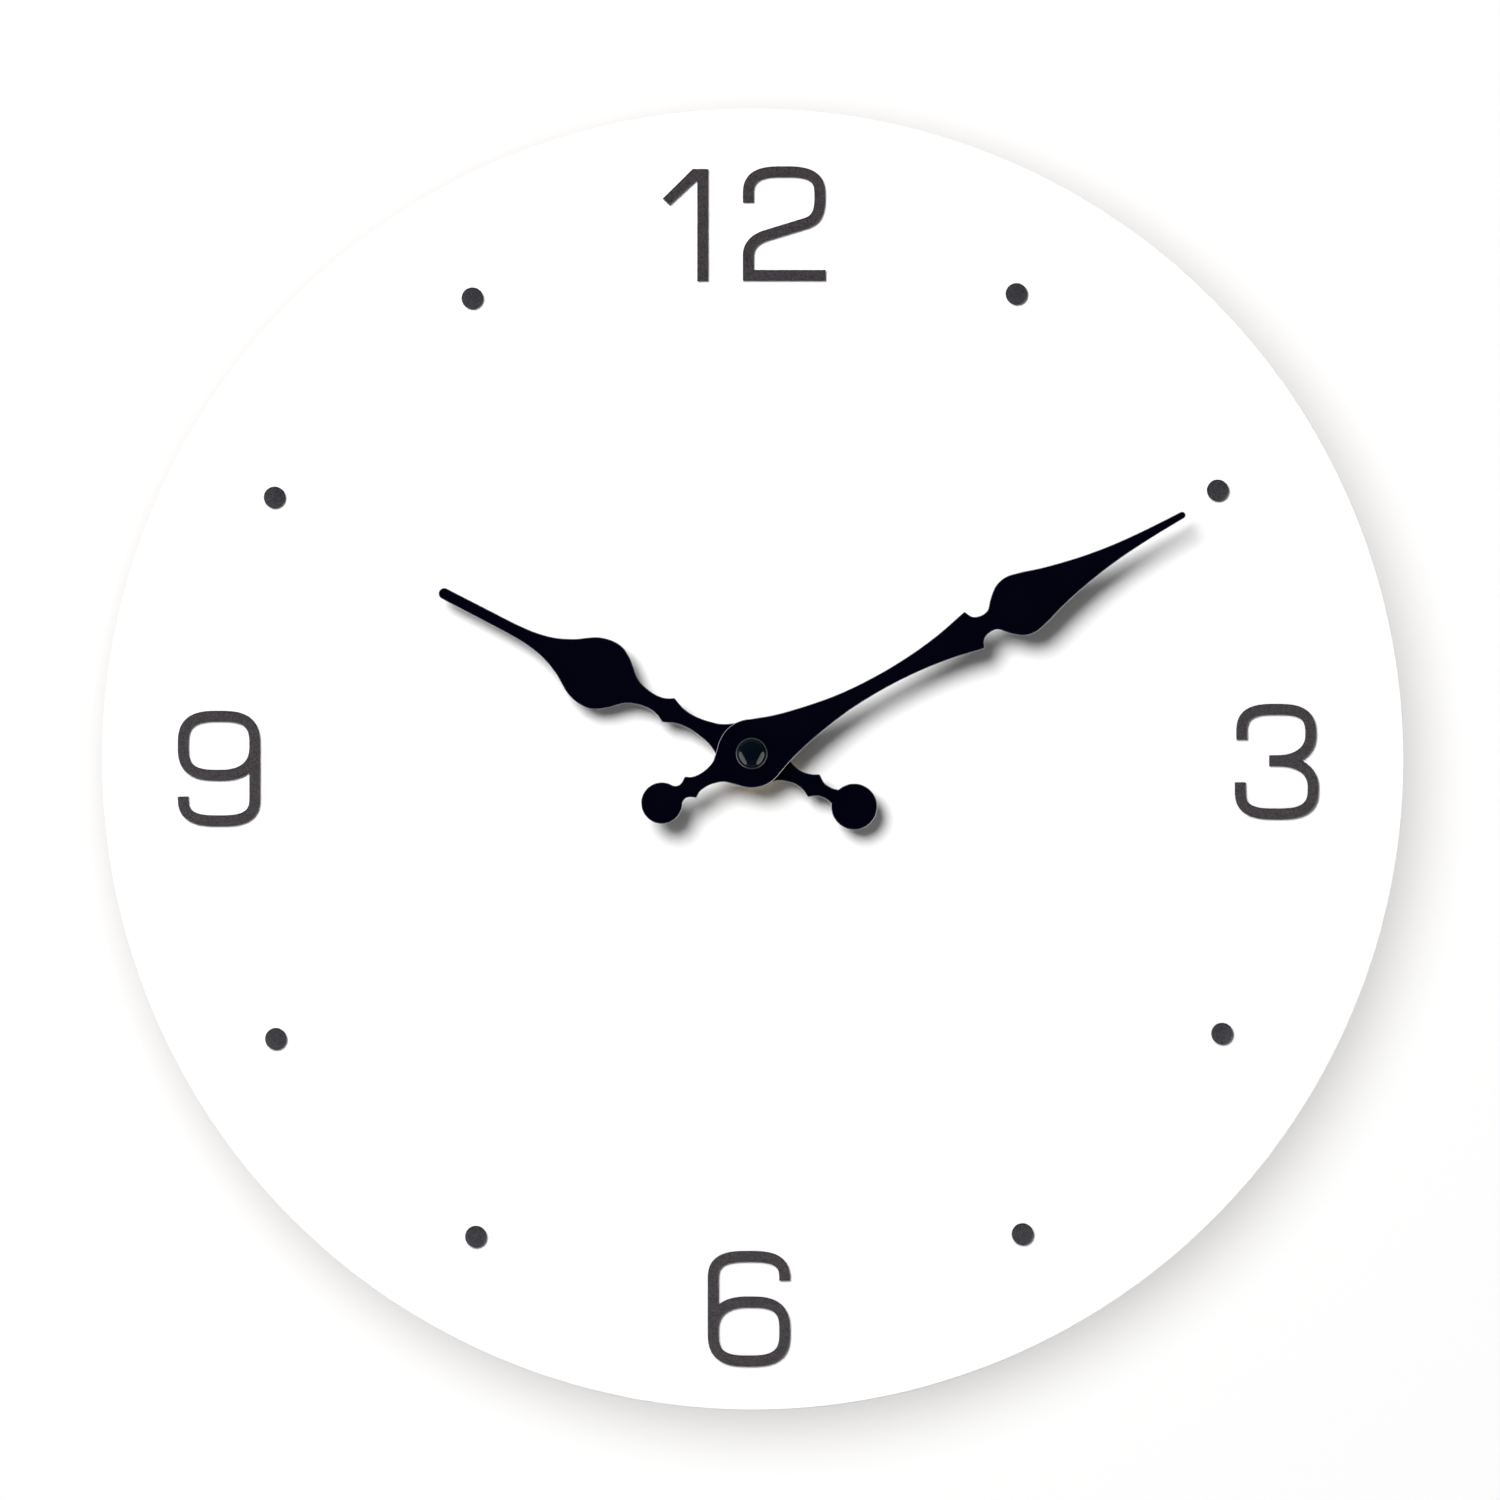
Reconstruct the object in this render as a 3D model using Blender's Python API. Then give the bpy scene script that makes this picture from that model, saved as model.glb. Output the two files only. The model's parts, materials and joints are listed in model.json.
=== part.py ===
"""A frameless round wall clock with a white disc dial, raised numerals and a battery quartz movement.

The clock faces -Y and hangs on a wall at y = 0, with +Z up. The origin is where the arbor's axis meets the
wall. Sizes below are in millimetres and become metres where a mesh is made. Every y is negative, because the
wall is at 0 and the front of the clock is towards -Y.
"""

import math

import bmesh
import bpy
from mathutils import Vector
from mathutils.geometry import tessellate_polygon

MM = 0.001

# Dial
DISC_RADIUS = 150.0
DISC_STEPS = 112
DISC_CENTRE = (0.35, -1.4)  # the arbor hole is drilled this little off the disc's centre
BOARD_BACK = -18.2
BOARD_FRONT = -23.2
FACE_BACK = -23.25
FACE_FRONT = -23.65
DIAL_HOLE_RADIUS = 4.2
RING_CENTRE = (-1.15, -2.7)  # the markers are set out round a centre of their own
MARKER_BACK = -23.7
MARKER_FRONT = -24.5
DOT_RING_RADIUS = 125.4
DOT_RADIUS = 2.5
# The dots are stuck on by hand, so each sits a little (right, up) off its true place on the ring.
DOT_SLIPS = {
    1: (-0.5, 0.0),
    2: (0.0, 0.6),
    4: (1.0, 0.8),
    5: (0.9, 0.5),
    7: (0.3, -0.1),
    8: (0.1, -0.4),
    10: (-0.2, -1.0),
    11: (-0.5, -1.0),
}
STROKE = 2.45
DIGIT_HALF_WIDTH = 8.25
DIGIT_HALF_HEIGHT = 12.05
CORNER_POWER = 3.0
HOOK_HEIGHT = 5.55

# Hands
MINUTE_ANGLE = 61.05
HOUR_ANGLE = -62.55
HAND_THICKNESS = 0.5
HOUR_HAND_BACK = -28.8
MINUTE_HAND_BACK = -31.3
HUB_RADIUS = 7.8

# Arbor
BUSH_RADIUS = 4.0
BUSH_FRONT = -27.2
BUSH_BACK = -15.9
HOUR_PIPE_RADIUS = 2.6
MINUTE_PIPE_RADIUS = 1.6
CAP_RADIUS = 3.6

# Movement case
CASE_SIZE = 56.0
CASE_CORNER = 3.0
CASE_WALL = 1.3
CASE_FRONT = -17.0
CASE_FLOOR = -15.8
COVER_FRONT = -1.4
BAY_WALL_TOP = -10.2
BAY_WALL_BOTTOM = -11.2

# Battery
CELL_RADIUS = 7.25
CELL_LENGTH = 50.5
CELL_Y = -8.0
CELL_Z = -18.9

# Gear train: the distance between two axes is half the sum of the tooth counts times the module
CENTRE_TEETH = 64
THIRD_PINION_TEETH = 8
THIRD_TEETH = 60
SECONDS_PINION_TEETH = 8
SECONDS_TEETH = 40
STEP_PINION_TEETH = 8
STEP_TEETH = 48
ROTOR_TEETH = 8
MINUTE_PINION_TEETH = 12
MOTION_TEETH = 36
MOTION_PINION_TEETH = 10
HOUR_TEETH = 40
KNOB_TEETH = 12
CENTRE_MODULE = 10.2 * 2 / (CENTRE_TEETH + THIRD_PINION_TEETH)
THIRD_MODULE = 0.3
SECONDS_MODULE = 0.35
STEP_MODULE = 0.3
MOTION_MODULE = 0.4
HOUR_MODULE = 0.384

# How tall a tooth is over the pitch line, how deep under it, and its half widths there, all in modules or in
# shares of half a pitch. The teeth are thin, so that two gears never bind.
WHEEL_TOOTH = (0.85, 1.25, 0.54, 0.16)
PINION_TOOTH = (0.7, 1.3, 0.36, 0.12)


def clear_scene():
    """Empties the startup scene."""
    for old in list(bpy.data.objects):
        bpy.data.objects.remove(old, do_unlink=True)


def make_material(name, colour, roughness, metallic=0.0):
    """A Principled material with a base colour, a roughness and a metallic value."""
    material = bpy.data.materials.new(name)
    material.use_nodes = True
    shader = material.node_tree.nodes["Principled BSDF"]
    shader.inputs["Base Color"].default_value = (*colour, 1.0)
    shader.inputs["Roughness"].default_value = roughness
    shader.inputs["Metallic"].default_value = metallic
    material.diffuse_color = (*colour, 1.0)
    return material


# Outlines: lists of (x, z) points


def at(angle, radius, centre=(0.0, 0.0)):
    """The point at an angle in degrees, counted anticlockwise from +X."""
    turn = math.radians(angle)
    return (centre[0] + radius * math.cos(turn), centre[1] + radius * math.sin(turn))


def arc(centre, radius, start, end, steps):
    """Points along an arc, both ends included."""
    return [at(start + (end - start) * i / steps, radius, centre) for i in range(steps + 1)]


def circle(radius, count, centre=(0.0, 0.0)):
    """A closed circle of count points."""
    return [at(360.0 * i / count, radius, centre) for i in range(count)]


def rounded_rectangle(left, bottom, right, top, radius, steps=4):
    """A rectangle with round corners."""
    corners = (
        (right - radius, top - radius, 0),
        (left + radius, top - radius, 90),
        (left + radius, bottom + radius, 180),
        (right - radius, bottom + radius, 270),
    )
    outline = []
    for x, z, start in corners:
        outline += arc((x, z), radius, start, start + 90, steps)
    return outline


def quarter(centre, width, height, start, end, steps=7, power=CORNER_POWER):
    """Part of a squarish oval, between two angles in degrees."""
    points = []
    for i in range(steps + 1):
        turn = math.radians(start + (end - start) * i / steps)
        across = math.copysign(abs(math.cos(turn)) ** (2 / power), math.cos(turn))
        up = math.copysign(abs(math.sin(turn)) ** (2 / power), math.sin(turn))
        points.append((centre[0] + width * across, centre[1] + height * up))
    return points


def bezier(first, second, third, fourth, steps=6):
    """A cubic curve through the first and the fourth point."""
    points = []
    for i in range(steps + 1):
        t = i / steps
        weights = ((1 - t) ** 3, 3 * t * (1 - t) ** 2, 3 * t * t * (1 - t), t**3)
        x = sum(w * p[0] for w, p in zip(weights, (first, second, third, fourth)))
        z = sum(w * p[1] for w, p in zip(weights, (first, second, third, fourth)))
        points.append((x, z))
    return points


def flowing(stations, steps):
    """A smooth curve through every station, with steps points for each span."""
    ends = [
        tuple(2 * a - b for a, b in zip(stations[0], stations[1])),
        tuple(2 * a - b for a, b in zip(stations[-1], stations[-2])),
    ]
    knots = [ends[0], *stations, ends[1]]
    points = [stations[0]]
    for before, start, end, after in zip(knots, knots[1:], knots[2:], knots[3:]):
        times = [0.0]
        for here, there in ((before, start), (start, end), (end, after)):
            times.append(times[-1] + math.dist(here, there) ** 0.5)
        for i in range(1, steps + 1):
            t = times[1] + (times[2] - times[1]) * i / steps
            points.append(catmull_point((before, start, end, after), times, t))
    return points


def catmull_point(knots, times, t):
    """One point of a centripetal Catmull-Rom curve."""

    def mix(low, high, start, end):
        share = (t - start) / (end - start)
        return tuple(a + (b - a) * share for a, b in zip(low, high))

    first = [mix(knots[i], knots[i + 1], times[i], times[i + 1]) for i in range(3)]
    second = [mix(first[i], first[i + 1], times[i], times[i + 2]) for i in range(2)]
    return mix(second[0], second[1], times[1], times[2])


def without_repeats(points, closed=False):
    """The points, leaving out any that repeats the one before it."""
    kept = [points[0]]
    for point in points[1:]:
        if math.dist(point, kept[-1]) > 1e-4:
            kept.append(point)
    if closed and math.dist(kept[0], kept[-1]) < 1e-4:
        kept.pop()
    return kept


def offset_side(path, distance, closed=False):
    """The path moved sideways by a distance, mitred at each bend."""
    moved = []
    last = len(path) - 1
    for i, point in enumerate(path):
        before = path[i - 1] if i > 0 or closed else point
        after = path[(i + 1) % len(path)] if i < last or closed else point
        sides = []
        for start, end in ((before, point), (point, after)):
            length = math.dist(start, end)
            if length > 0:
                sides.append(((start[1] - end[1]) / length, (end[0] - start[0]) / length))
        across = (sides[0][0] + sides[-1][0], sides[0][1] + sides[-1][1])
        size = math.hypot(*across)
        along = (across[0] * sides[0][0] + across[1] * sides[0][1]) / size
        reach = distance / (size * along)
        moved.append((point[0] + across[0] * reach, point[1] + across[1] * reach))
    return moved


def stroke(path, width):
    """The outline of a line of constant width with flat ends."""
    path = without_repeats(path)
    return offset_side(path, width / 2) + offset_side(path, -width / 2)[::-1]


def gear(teeth, module, phase, tooth):
    """A gear's outline. The phase is the angle of one tooth, in radians."""
    addendum, dedendum, root, tip = tooth
    pitch_radius = module * teeth / 2
    half_pitch = math.pi / teeth
    outline = []
    for k in range(teeth):
        middle = phase + 2 * half_pitch * k
        for height, share in ((-dedendum, -root), (addendum, -tip), (addendum, tip), (-dedendum, root)):
            radius = pitch_radius + height * module
            turn = middle + share * half_pitch
            outline.append((radius * math.cos(turn), radius * math.sin(turn)))
    return outline


def meshed(teeth, phase, mate_teeth, axis, mate_axis):
    """The phase that puts a gap of the mate on the line between the axes when the first has a tooth there."""
    line = math.atan2(mate_axis[1] - axis[1], mate_axis[0] - axis[0])
    return line + math.pi - (math.pi - teeth * (line - phase)) / mate_teeth


# Solids: each is (vertices, faces), in millimetres


def prism(outline, back, front, holes=()):
    """A plate between two depths, with holes through it."""
    loops = [without_repeats(loop, closed=True) for loop in (outline, *holes)]
    flat = [point for loop in loops for point in loop]
    count = len(flat)
    vertices = [(x, back, z) for x, z in flat] + [(x, front, z) for x, z in flat]
    caps = tessellate_polygon([[Vector((x, z, 0.0)) for x, z in loop] for loop in loops])
    faces = [tuple(cap) for cap in caps]
    faces += [tuple(i + count for i in reversed(cap)) for cap in caps]
    start = 0
    for loop in loops:
        for i in range(len(loop)):
            here = start + i
            there = start + (i + 1) % len(loop)
            faces.append((here, there, there + count, here + count))
        start += len(loop)
    return vertices, faces


def turned(profile, steps, centre=(0.0, 0.0)):
    """A solid of revolution about a line along Y. The profile is a closed loop of (radius, y)."""
    vertices = []
    rings = []
    for radius, y in profile:
        if radius == 0:
            rings.append([len(vertices)])
            vertices.append((centre[0], y, centre[1]))
            continue
        rings.append(list(range(len(vertices), len(vertices) + steps)))
        for x, z in circle(radius, steps, centre):
            vertices.append((x, y, z))
    faces = []
    for i, ring in enumerate(rings):
        following = rings[(i + 1) % len(rings)]
        for k in range(steps):
            corners = [ring[k % len(ring)], ring[(k + 1) % len(ring)]]
            corners += [following[(k + 1) % len(following)], following[k % len(following)]]
            kept = list(dict.fromkeys(corners))
            if len(kept) > 2:
                faces.append(tuple(kept))
    return vertices, faces


def tube(outer, inner, back, front, steps, centre=(0.0, 0.0)):
    """A plain tube along Y."""
    return turned([(inner, back), (outer, back), (outer, front), (inner, front)], steps, centre)


def rod(radius, back, front, steps, centre=(0.0, 0.0)):
    """A plain rod along Y."""
    return turned([(0, back), (radius, back), (radius, front), (0, front)], steps, centre)


def block(left, bottom, right, top, back, front):
    """A box from its four sides and two depths."""
    return prism([(left, bottom), (right, bottom), (right, top), (left, top)], back, front)


def laid_along_x(solid):
    """A solid made along Y, turned so that its -Y end points to +X."""
    vertices, faces = solid
    return [(-y, x, z) for x, y, z in vertices], faces


def make_mesh_object(name, solid):
    """An object from one solid, in metres and with its faces pointing out."""
    vertices, faces = solid
    mesh = bpy.data.meshes.new(name)
    mesh.from_pydata([Vector(vertex) * MM for vertex in vertices], [], faces)
    point_outwards(mesh)
    made = bpy.data.objects.new(name, mesh)
    bpy.context.scene.collection.objects.link(made)
    return made


def point_outwards(mesh):
    """Turns every face of a closed mesh outwards."""
    shape = bmesh.new()
    shape.from_mesh(mesh)
    bmesh.ops.recalc_face_normals(shape, faces=shape.faces)
    if shape.calc_volume(signed=True) < 0:
        bmesh.ops.reverse_faces(shape, faces=shape.faces)
    shape.to_mesh(mesh)
    shape.free()


def combine(target, solid, operation):
    """Joins a solid to an object, or cuts it out of the object."""
    helper = make_mesh_object("helper", solid)
    modifier = target.modifiers.new("shape", "BOOLEAN")
    modifier.operation = operation
    modifier.solver = "EXACT"
    modifier.object = helper
    graph = bpy.context.evaluated_depsgraph_get()
    shaped = bpy.data.meshes.new_from_object(target.evaluated_get(graph))
    target.modifiers.remove(modifier)
    old = target.data
    target.data = shaped
    bpy.data.meshes.remove(old)
    helper_mesh = helper.data
    bpy.data.objects.remove(helper, do_unlink=True)
    bpy.data.meshes.remove(helper_mesh)


def piece(name, material, solid, joined=(), cut=(), axis=(0.0, 0.0), turn=0.0, round_edges=True):
    """One named piece of the clock, with its origin on the line along Y through axis."""
    made = make_mesh_object(name, solid)
    for other in joined:
        combine(made, other, "UNION")
    for other in cut:
        combine(made, other, "DIFFERENCE")
    made.data.name = name
    made.data.materials.clear()
    made.data.materials.append(material)
    if round_edges:
        made.data.polygons.foreach_set("use_smooth", [True] * len(made.data.polygons))
        made.data.set_sharp_from_angle(angle=math.radians(30))
    made.location = (axis[0] * MM, 0.0, axis[1] * MM)
    made.rotation_euler = (0.0, math.radians(turn), 0.0)
    return made


# Dial


def make_dial(paint, sheet):
    """The board and the white face on it."""
    centre = DISC_CENTRE
    hole = [circle(DIAL_HOLE_RADIUS, 24)]
    piece("dial_board", paint, prism(circle(DISC_RADIUS, DISC_STEPS, centre), BOARD_BACK, BOARD_FRONT, hole))
    piece("dial_face_sheet", sheet, prism(circle(DISC_RADIUS, DISC_STEPS, centre), FACE_BACK, FACE_FRONT, hole))


def raised(outline, holes=()):
    """A marker standing on the face."""
    return prism(outline, MARKER_BACK, MARKER_FRONT, holes)


def moved(points, centre):
    """An outline moved so that its own middle is on a centre."""
    return [(x + centre[0], z + centre[1]) for x, z in points]


def nine_outlines():
    """The bowl's two edges, and the stem with its hook, of a nine drawn about its middle."""
    bowl_bottom = -1.55
    bowl_half = (DIGIT_HALF_HEIGHT - bowl_bottom) / 2
    bowl_middle = (0.0, bowl_bottom + bowl_half)
    bowl = quarter(bowl_middle, DIGIT_HALF_WIDTH, bowl_half, 0, 270, steps=24)
    bowl += quarter(bowl_middle, DIGIT_HALF_WIDTH, bowl_half, 270, 360, steps=8, power=2.5)
    bowl = without_repeats(bowl, closed=True)
    hook_middle = (0.0, HOOK_HEIGHT - DIGIT_HALF_HEIGHT)
    stem = [(DIGIT_HALF_WIDTH, bowl_middle[1])]
    stem += quarter(hook_middle, DIGIT_HALF_WIDTH, HOOK_HEIGHT, 0, -180, steps=16)
    return offset_side(bowl, -STROKE / 2, closed=True), offset_side(bowl, STROKE / 2, closed=True), stroke(stem, STROKE)


def two_path():
    """The middle line of a two."""
    top = DIGIT_HALF_HEIGHT - 0.1
    side = DIGIT_HALF_WIDTH
    path = [(-side, 4.85)]
    path += quarter((0.0, top - HOOK_HEIGHT), side, HOOK_HEIGHT, 180, 90)
    path += quarter((0.0, top - HOOK_HEIGHT), side, HOOK_HEIGHT, 90, 0)
    path += bezier((side, 6.2), (side, 2.4), (7.4, 0.8), (5.0, 0.05))
    path += bezier((-4.2, -2.75), (-6.9, -3.6), (-side, -5.2), (-side, -7.4))
    path += [(-side, 0.1 - DIGIT_HALF_HEIGHT), (9.55, 0.1 - DIGIT_HALF_HEIGHT)]
    return path


def three_paths():
    """The middle lines of a three: the upper bowl with its bar, then the lower bowl."""
    bar = 0.2
    top = DIGIT_HALF_HEIGHT
    upper_side = 7.95
    lower_side = 8.5
    upper_half = (top - bar) / 2
    lower_half = (top + bar) / 2
    upper = [(-upper_side, 5.05)]
    upper += quarter((0.0, top - HOOK_HEIGHT), upper_side, HOOK_HEIGHT, 180, 90)
    upper += quarter((0.0, bar + upper_half), upper_side, upper_half, 90, 0)
    upper += quarter((0.0, bar + upper_half), upper_side, upper_half, 0, -90, power=2.25)
    upper += [(-1.6, bar)]
    lower = [(-1.0, bar)]
    lower += quarter((0.0, bar - lower_half), lower_side, lower_half, 90, 0, power=2.25)
    lower += quarter((0.0, bar - lower_half), lower_side, lower_half, 0, -90)
    lower += quarter((0.0, HOOK_HEIGHT - top), lower_side - 0.2, HOOK_HEIGHT, -90, -180)
    lower += [(0.2 - lower_side, -4.8)]
    return upper, lower


def one_outline():
    """A one with a straight flag, drawn about the middle of its stem."""
    half = STROKE / 2
    top = 12.9
    return [
        (-half, top),
        (half, top),
        (half, -top),
        (-half, -top),
        (-half, top - 2.4),
        (-7.65, top - 8.35),
        (-9.2, top - 6.85),
        (-2.25, top),
    ]


def make_numerals(plastic):
    """The numerals 12, 3, 6 and 9. Each digit is a piece of its own."""
    right, up = RING_CENTRE
    place = {
        "one": (right - 10.15, up + 124.5),
        "two": (right + 8.6, up + 124.85),
        "three": (right + 122.05, up + 0.85),
        "six": (right + 0.5, up - 125.25),
        "nine": (right - 121.65, up - 0.75),
    }
    piece("numeral_12_one", plastic, raised(moved(one_outline(), place["one"])))
    piece("numeral_12_two", plastic, raised(moved(stroke(two_path(), STROKE), place["two"])))
    upper, lower = (moved(stroke(path, STROKE), place["three"]) for path in three_paths())
    piece("numeral_3", plastic, raised(upper), joined=[raised(lower)])
    outer, inner, stem = nine_outlines()
    nine = [moved(part, place["nine"]) for part in (outer, inner, stem)]
    six = [moved([(-x, -z) for x, z in part], place["six"]) for part in (outer, inner, stem)]
    piece("numeral_6", plastic, raised(six[0], [six[1]]), joined=[raised(six[2])])
    piece("numeral_9", plastic, raised(nine[0], [nine[1]]), joined=[raised(nine[2])])


def make_dots(plastic):
    """A dot for each of the other eight hours."""
    edge = 0.2
    profile = [
        (0, MARKER_BACK),
        (DOT_RADIUS, MARKER_BACK),
        (DOT_RADIUS, MARKER_FRONT + edge),
        (DOT_RADIUS - edge, MARKER_FRONT),
        (0, MARKER_FRONT),
    ]
    for hour, (right, up) in DOT_SLIPS.items():
        x, z = at(90 - 30 * hour, DOT_RING_RADIUS, RING_CENTRE)
        piece(f"hour_dot_{hour:02d}", plastic, turned(profile, 18, (x + right, z + up)))


# Hands. A stretch lists (distance from the axis along the hand, half width).


def hand_outline(ball, neck, waist, hub_join, blade, leaf, tip_radius):
    """A spade hand's outline, pointing to +Z: a tail ball, a hub and a pointed leaf."""
    ball_centre, ball_radius = ball
    join = neck[0][0] - ball_centre
    ball_end = math.degrees(math.acos(join / ball_radius))
    side = [(ball_centre + x, w) for x, w in arc((0, 0), ball_radius, 180, ball_end, 9)][1:-1]
    side += flowing(neck, 3)
    side += flowing(waist, 3)[1:]
    hub_start = math.degrees(math.atan2(waist[-1][1], waist[-1][0]))
    hub_end = math.degrees(math.acos(hub_join / HUB_RADIUS))
    side += arc((0, 0), HUB_RADIUS, hub_start, hub_end, 9)[1:-1]
    side += flowing(blade, 2)
    side += flowing(leaf, 2)[1:]
    side += arc((leaf[-1][0], 0), tip_radius, 90, 0, 4)[1:-1]
    side = without_repeats(side)
    tail = [(0.0, ball_centre - ball_radius)]
    tip = [(0.0, leaf[-1][0] + tip_radius)]
    return tail + [(w, r) for r, w in side] + tip + [(-w, r) for r, w in reversed(side)]


MINUTE_OUTLINE = hand_outline(
    ball=(-23.6, 4.65),
    neck=[(-19.5, 2.2), (-18.9, 1.8), (-18.1, 1.62), (-17.3, 1.82), (-16.05, 2.65)],
    waist=[(-16.05, 2.65), (-14.6, 1.82), (-12.6, 1.57), (-10.8, 1.79), (-8.8, 2.5), (-7.1, 3.95), (-5.4, 5.65)],
    hub_join=3.4,
    blade=[(3.4, 7.0), (8.7, 5.15), (15.7, 3.5), (24.0, 2.15), (33.5, 1.65), (42.0, 1.95), (50.3, 2.95), (58.5, 4.7)],
    leaf=[
        (58.5, 4.7),
        (59.6, 2.8),
        (61.6, 2.08),
        (63.4, 2.4),
        (65.3, 4.4),
        (68.0, 6.5),
        (70.7, 7.1),
        (73.8, 6.5),
        (79.3, 4.85),
        (87.6, 2.95),
        (95.9, 1.7),
        (104.2, 1.05),
        (113.1, 0.7),
    ],
    tip_radius=0.7,
)
HOUR_OUTLINE = hand_outline(
    ball=(-26.6, 5.2),
    neck=[(-21.7, 1.75), (-20.6, 1.42), (-19.4, 1.36), (-18.0, 1.58), (-16.1, 2.8)],
    waist=[(-16.1, 2.8), (-14.4, 2.0), (-12.3, 1.6), (-10.4, 1.85), (-8.6, 2.45), (-6.9, 3.65), (-4.5, 6.35)],
    hub_join=3.3,
    blade=[(3.3, 7.05), (5.5, 5.15), (9.0, 2.83), (12.0, 1.96), (15.6, 1.52), (18.7, 1.87), (21.6, 3.0)],
    leaf=[
        (21.6, 3.0),
        (23.4, 2.06),
        (25.6, 1.7),
        (28.4, 2.03),
        (31.1, 3.05),
        (34.6, 6.1),
        (37.4, 7.8),
        (40.1, 8.15),
        (43.6, 7.35),
        (48.4, 4.4),
        (52.6, 2.6),
        (56.7, 1.7),
        (60.9, 1.35),
        (70.0, 1.25),
        (79.7, 1.2),
    ],
    tip_radius=1.2,
)


def make_hands(lacquer, brass):
    """Both hands, each with the collet that grips its pipe."""
    hour_front = HOUR_HAND_BACK - HAND_THICKNESS
    minute_front = MINUTE_HAND_BACK - HAND_THICKNESS
    hour_neck = 3.25
    minute_neck = 2.3
    hour_plate = prism(HOUR_OUTLINE, HOUR_HAND_BACK, hour_front, [circle(hour_neck + 0.05, 28)])
    minute_plate = prism(MINUTE_OUTLINE, MINUTE_HAND_BACK, minute_front, [circle(minute_neck + 0.05, 24)])
    piece("hour_hand", lacquer, hour_plate, turn=HOUR_ANGLE)
    piece("minute_hand", lacquer, minute_plate, turn=MINUTE_ANGLE)
    hour_collet = collet_profile(HOUR_PIPE_RADIUS + 0.02, hour_neck, 4.6, HOUR_HAND_BACK, 0.6, hour_front - 0.1)
    minute_collet = collet_profile(MINUTE_PIPE_RADIUS + 0.02, minute_neck, 3.6, MINUTE_HAND_BACK, 0.6, minute_front - 0.1)
    piece("hour_hand_collet", brass, turned(hour_collet, 24), turn=HOUR_ANGLE)
    piece("minute_hand_collet", brass, turned(minute_collet, 20), turn=MINUTE_ANGLE)


def collet_profile(bore, neck, flange, hand_back, flange_thickness, front):
    """A flanged ring: the flange is behind the hand and the neck goes through it."""
    seat = hand_back + 0.05
    return [
        (bore, seat + flange_thickness),
        (flange, seat + flange_thickness),
        (flange, seat),
        (neck, seat),
        (neck, front),
        (bore, front),
    ]


def make_cap_nut(enamel):
    """The domed nut on the end of the minute pipe."""
    back = MINUTE_HAND_BACK - HAND_THICKNESS - 0.15
    rim = back - 0.5
    dome_height = 1.9
    profile = [(1.55, back), (CAP_RADIUS, back), (CAP_RADIUS, rim)]
    for i in range(1, 6):
        turn = math.radians(15 * i)
        profile.append(((CAP_RADIUS - 0.15) * math.cos(turn), rim - dome_height * math.sin(turn)))
    profile += [(0, rim - dome_height), (0, back - 1.6), (1.55, back - 1.6)]
    piece("cap_nut", enamel, turned(profile, 28))


# Fixing of the dial


def make_fixing(brass, rubber):
    """The threaded bush, and the washer, nut and gasket that clamp the dial to the movement."""
    thread_end = 0.3
    bush = [
        (2.72, BUSH_BACK),
        (BUSH_RADIUS, BUSH_BACK),
        (BUSH_RADIUS, -16.25),
        (5.5, -16.25),
        (5.5, -16.95),
        (BUSH_RADIUS, -16.95),
        (BUSH_RADIUS, BUSH_FRONT + thread_end),
        (BUSH_RADIUS - thread_end, BUSH_FRONT),
        (2.72, BUSH_FRONT),
    ]
    piece("threaded_bush", brass, turned(bush, 24))
    piece("dial_gasket", rubber, tube(13.0, 4.3, -17.1, -18.1, 24))
    piece("arbor_washer", brass, tube(7.0, 4.1, -23.7, -24.2, 24))
    flats = 5.5 / math.cos(math.pi / 6)
    nut = prism(circle(flats, 6), -24.25, -26.45, [circle(4.06, 24)])
    piece("arbor_hex_nut", brass, nut, round_edges=False)


# Movement


ARBOR = (0.0, 0.0)
THIRD_AXIS = at(150, CENTRE_MODULE * (CENTRE_TEETH + THIRD_PINION_TEETH) / 2)
STEP_AXIS = at(170, SECONDS_MODULE * (SECONDS_TEETH + STEP_PINION_TEETH) / 2)
ROTOR_AXIS = at(200, STEP_MODULE * (STEP_TEETH + ROTOR_TEETH) / 2, STEP_AXIS)
MOTION_AXIS = at(90, MOTION_MODULE * (MINUTE_PINION_TEETH + MOTION_TEETH) / 2)
KNOB_AXIS = at(45, MOTION_MODULE * (MOTION_TEETH + KNOB_TEETH) / 2, MOTION_AXIS)
PLATE_POSTS = ((-23.0, -7.5), (-21.5, 14.5), (9.5, -8.0), (11.0, 4.0))
BOARD_POSTS = ((23.5, 5.0), (23.5, -7.5))
COIL_Z = 21.9


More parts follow.
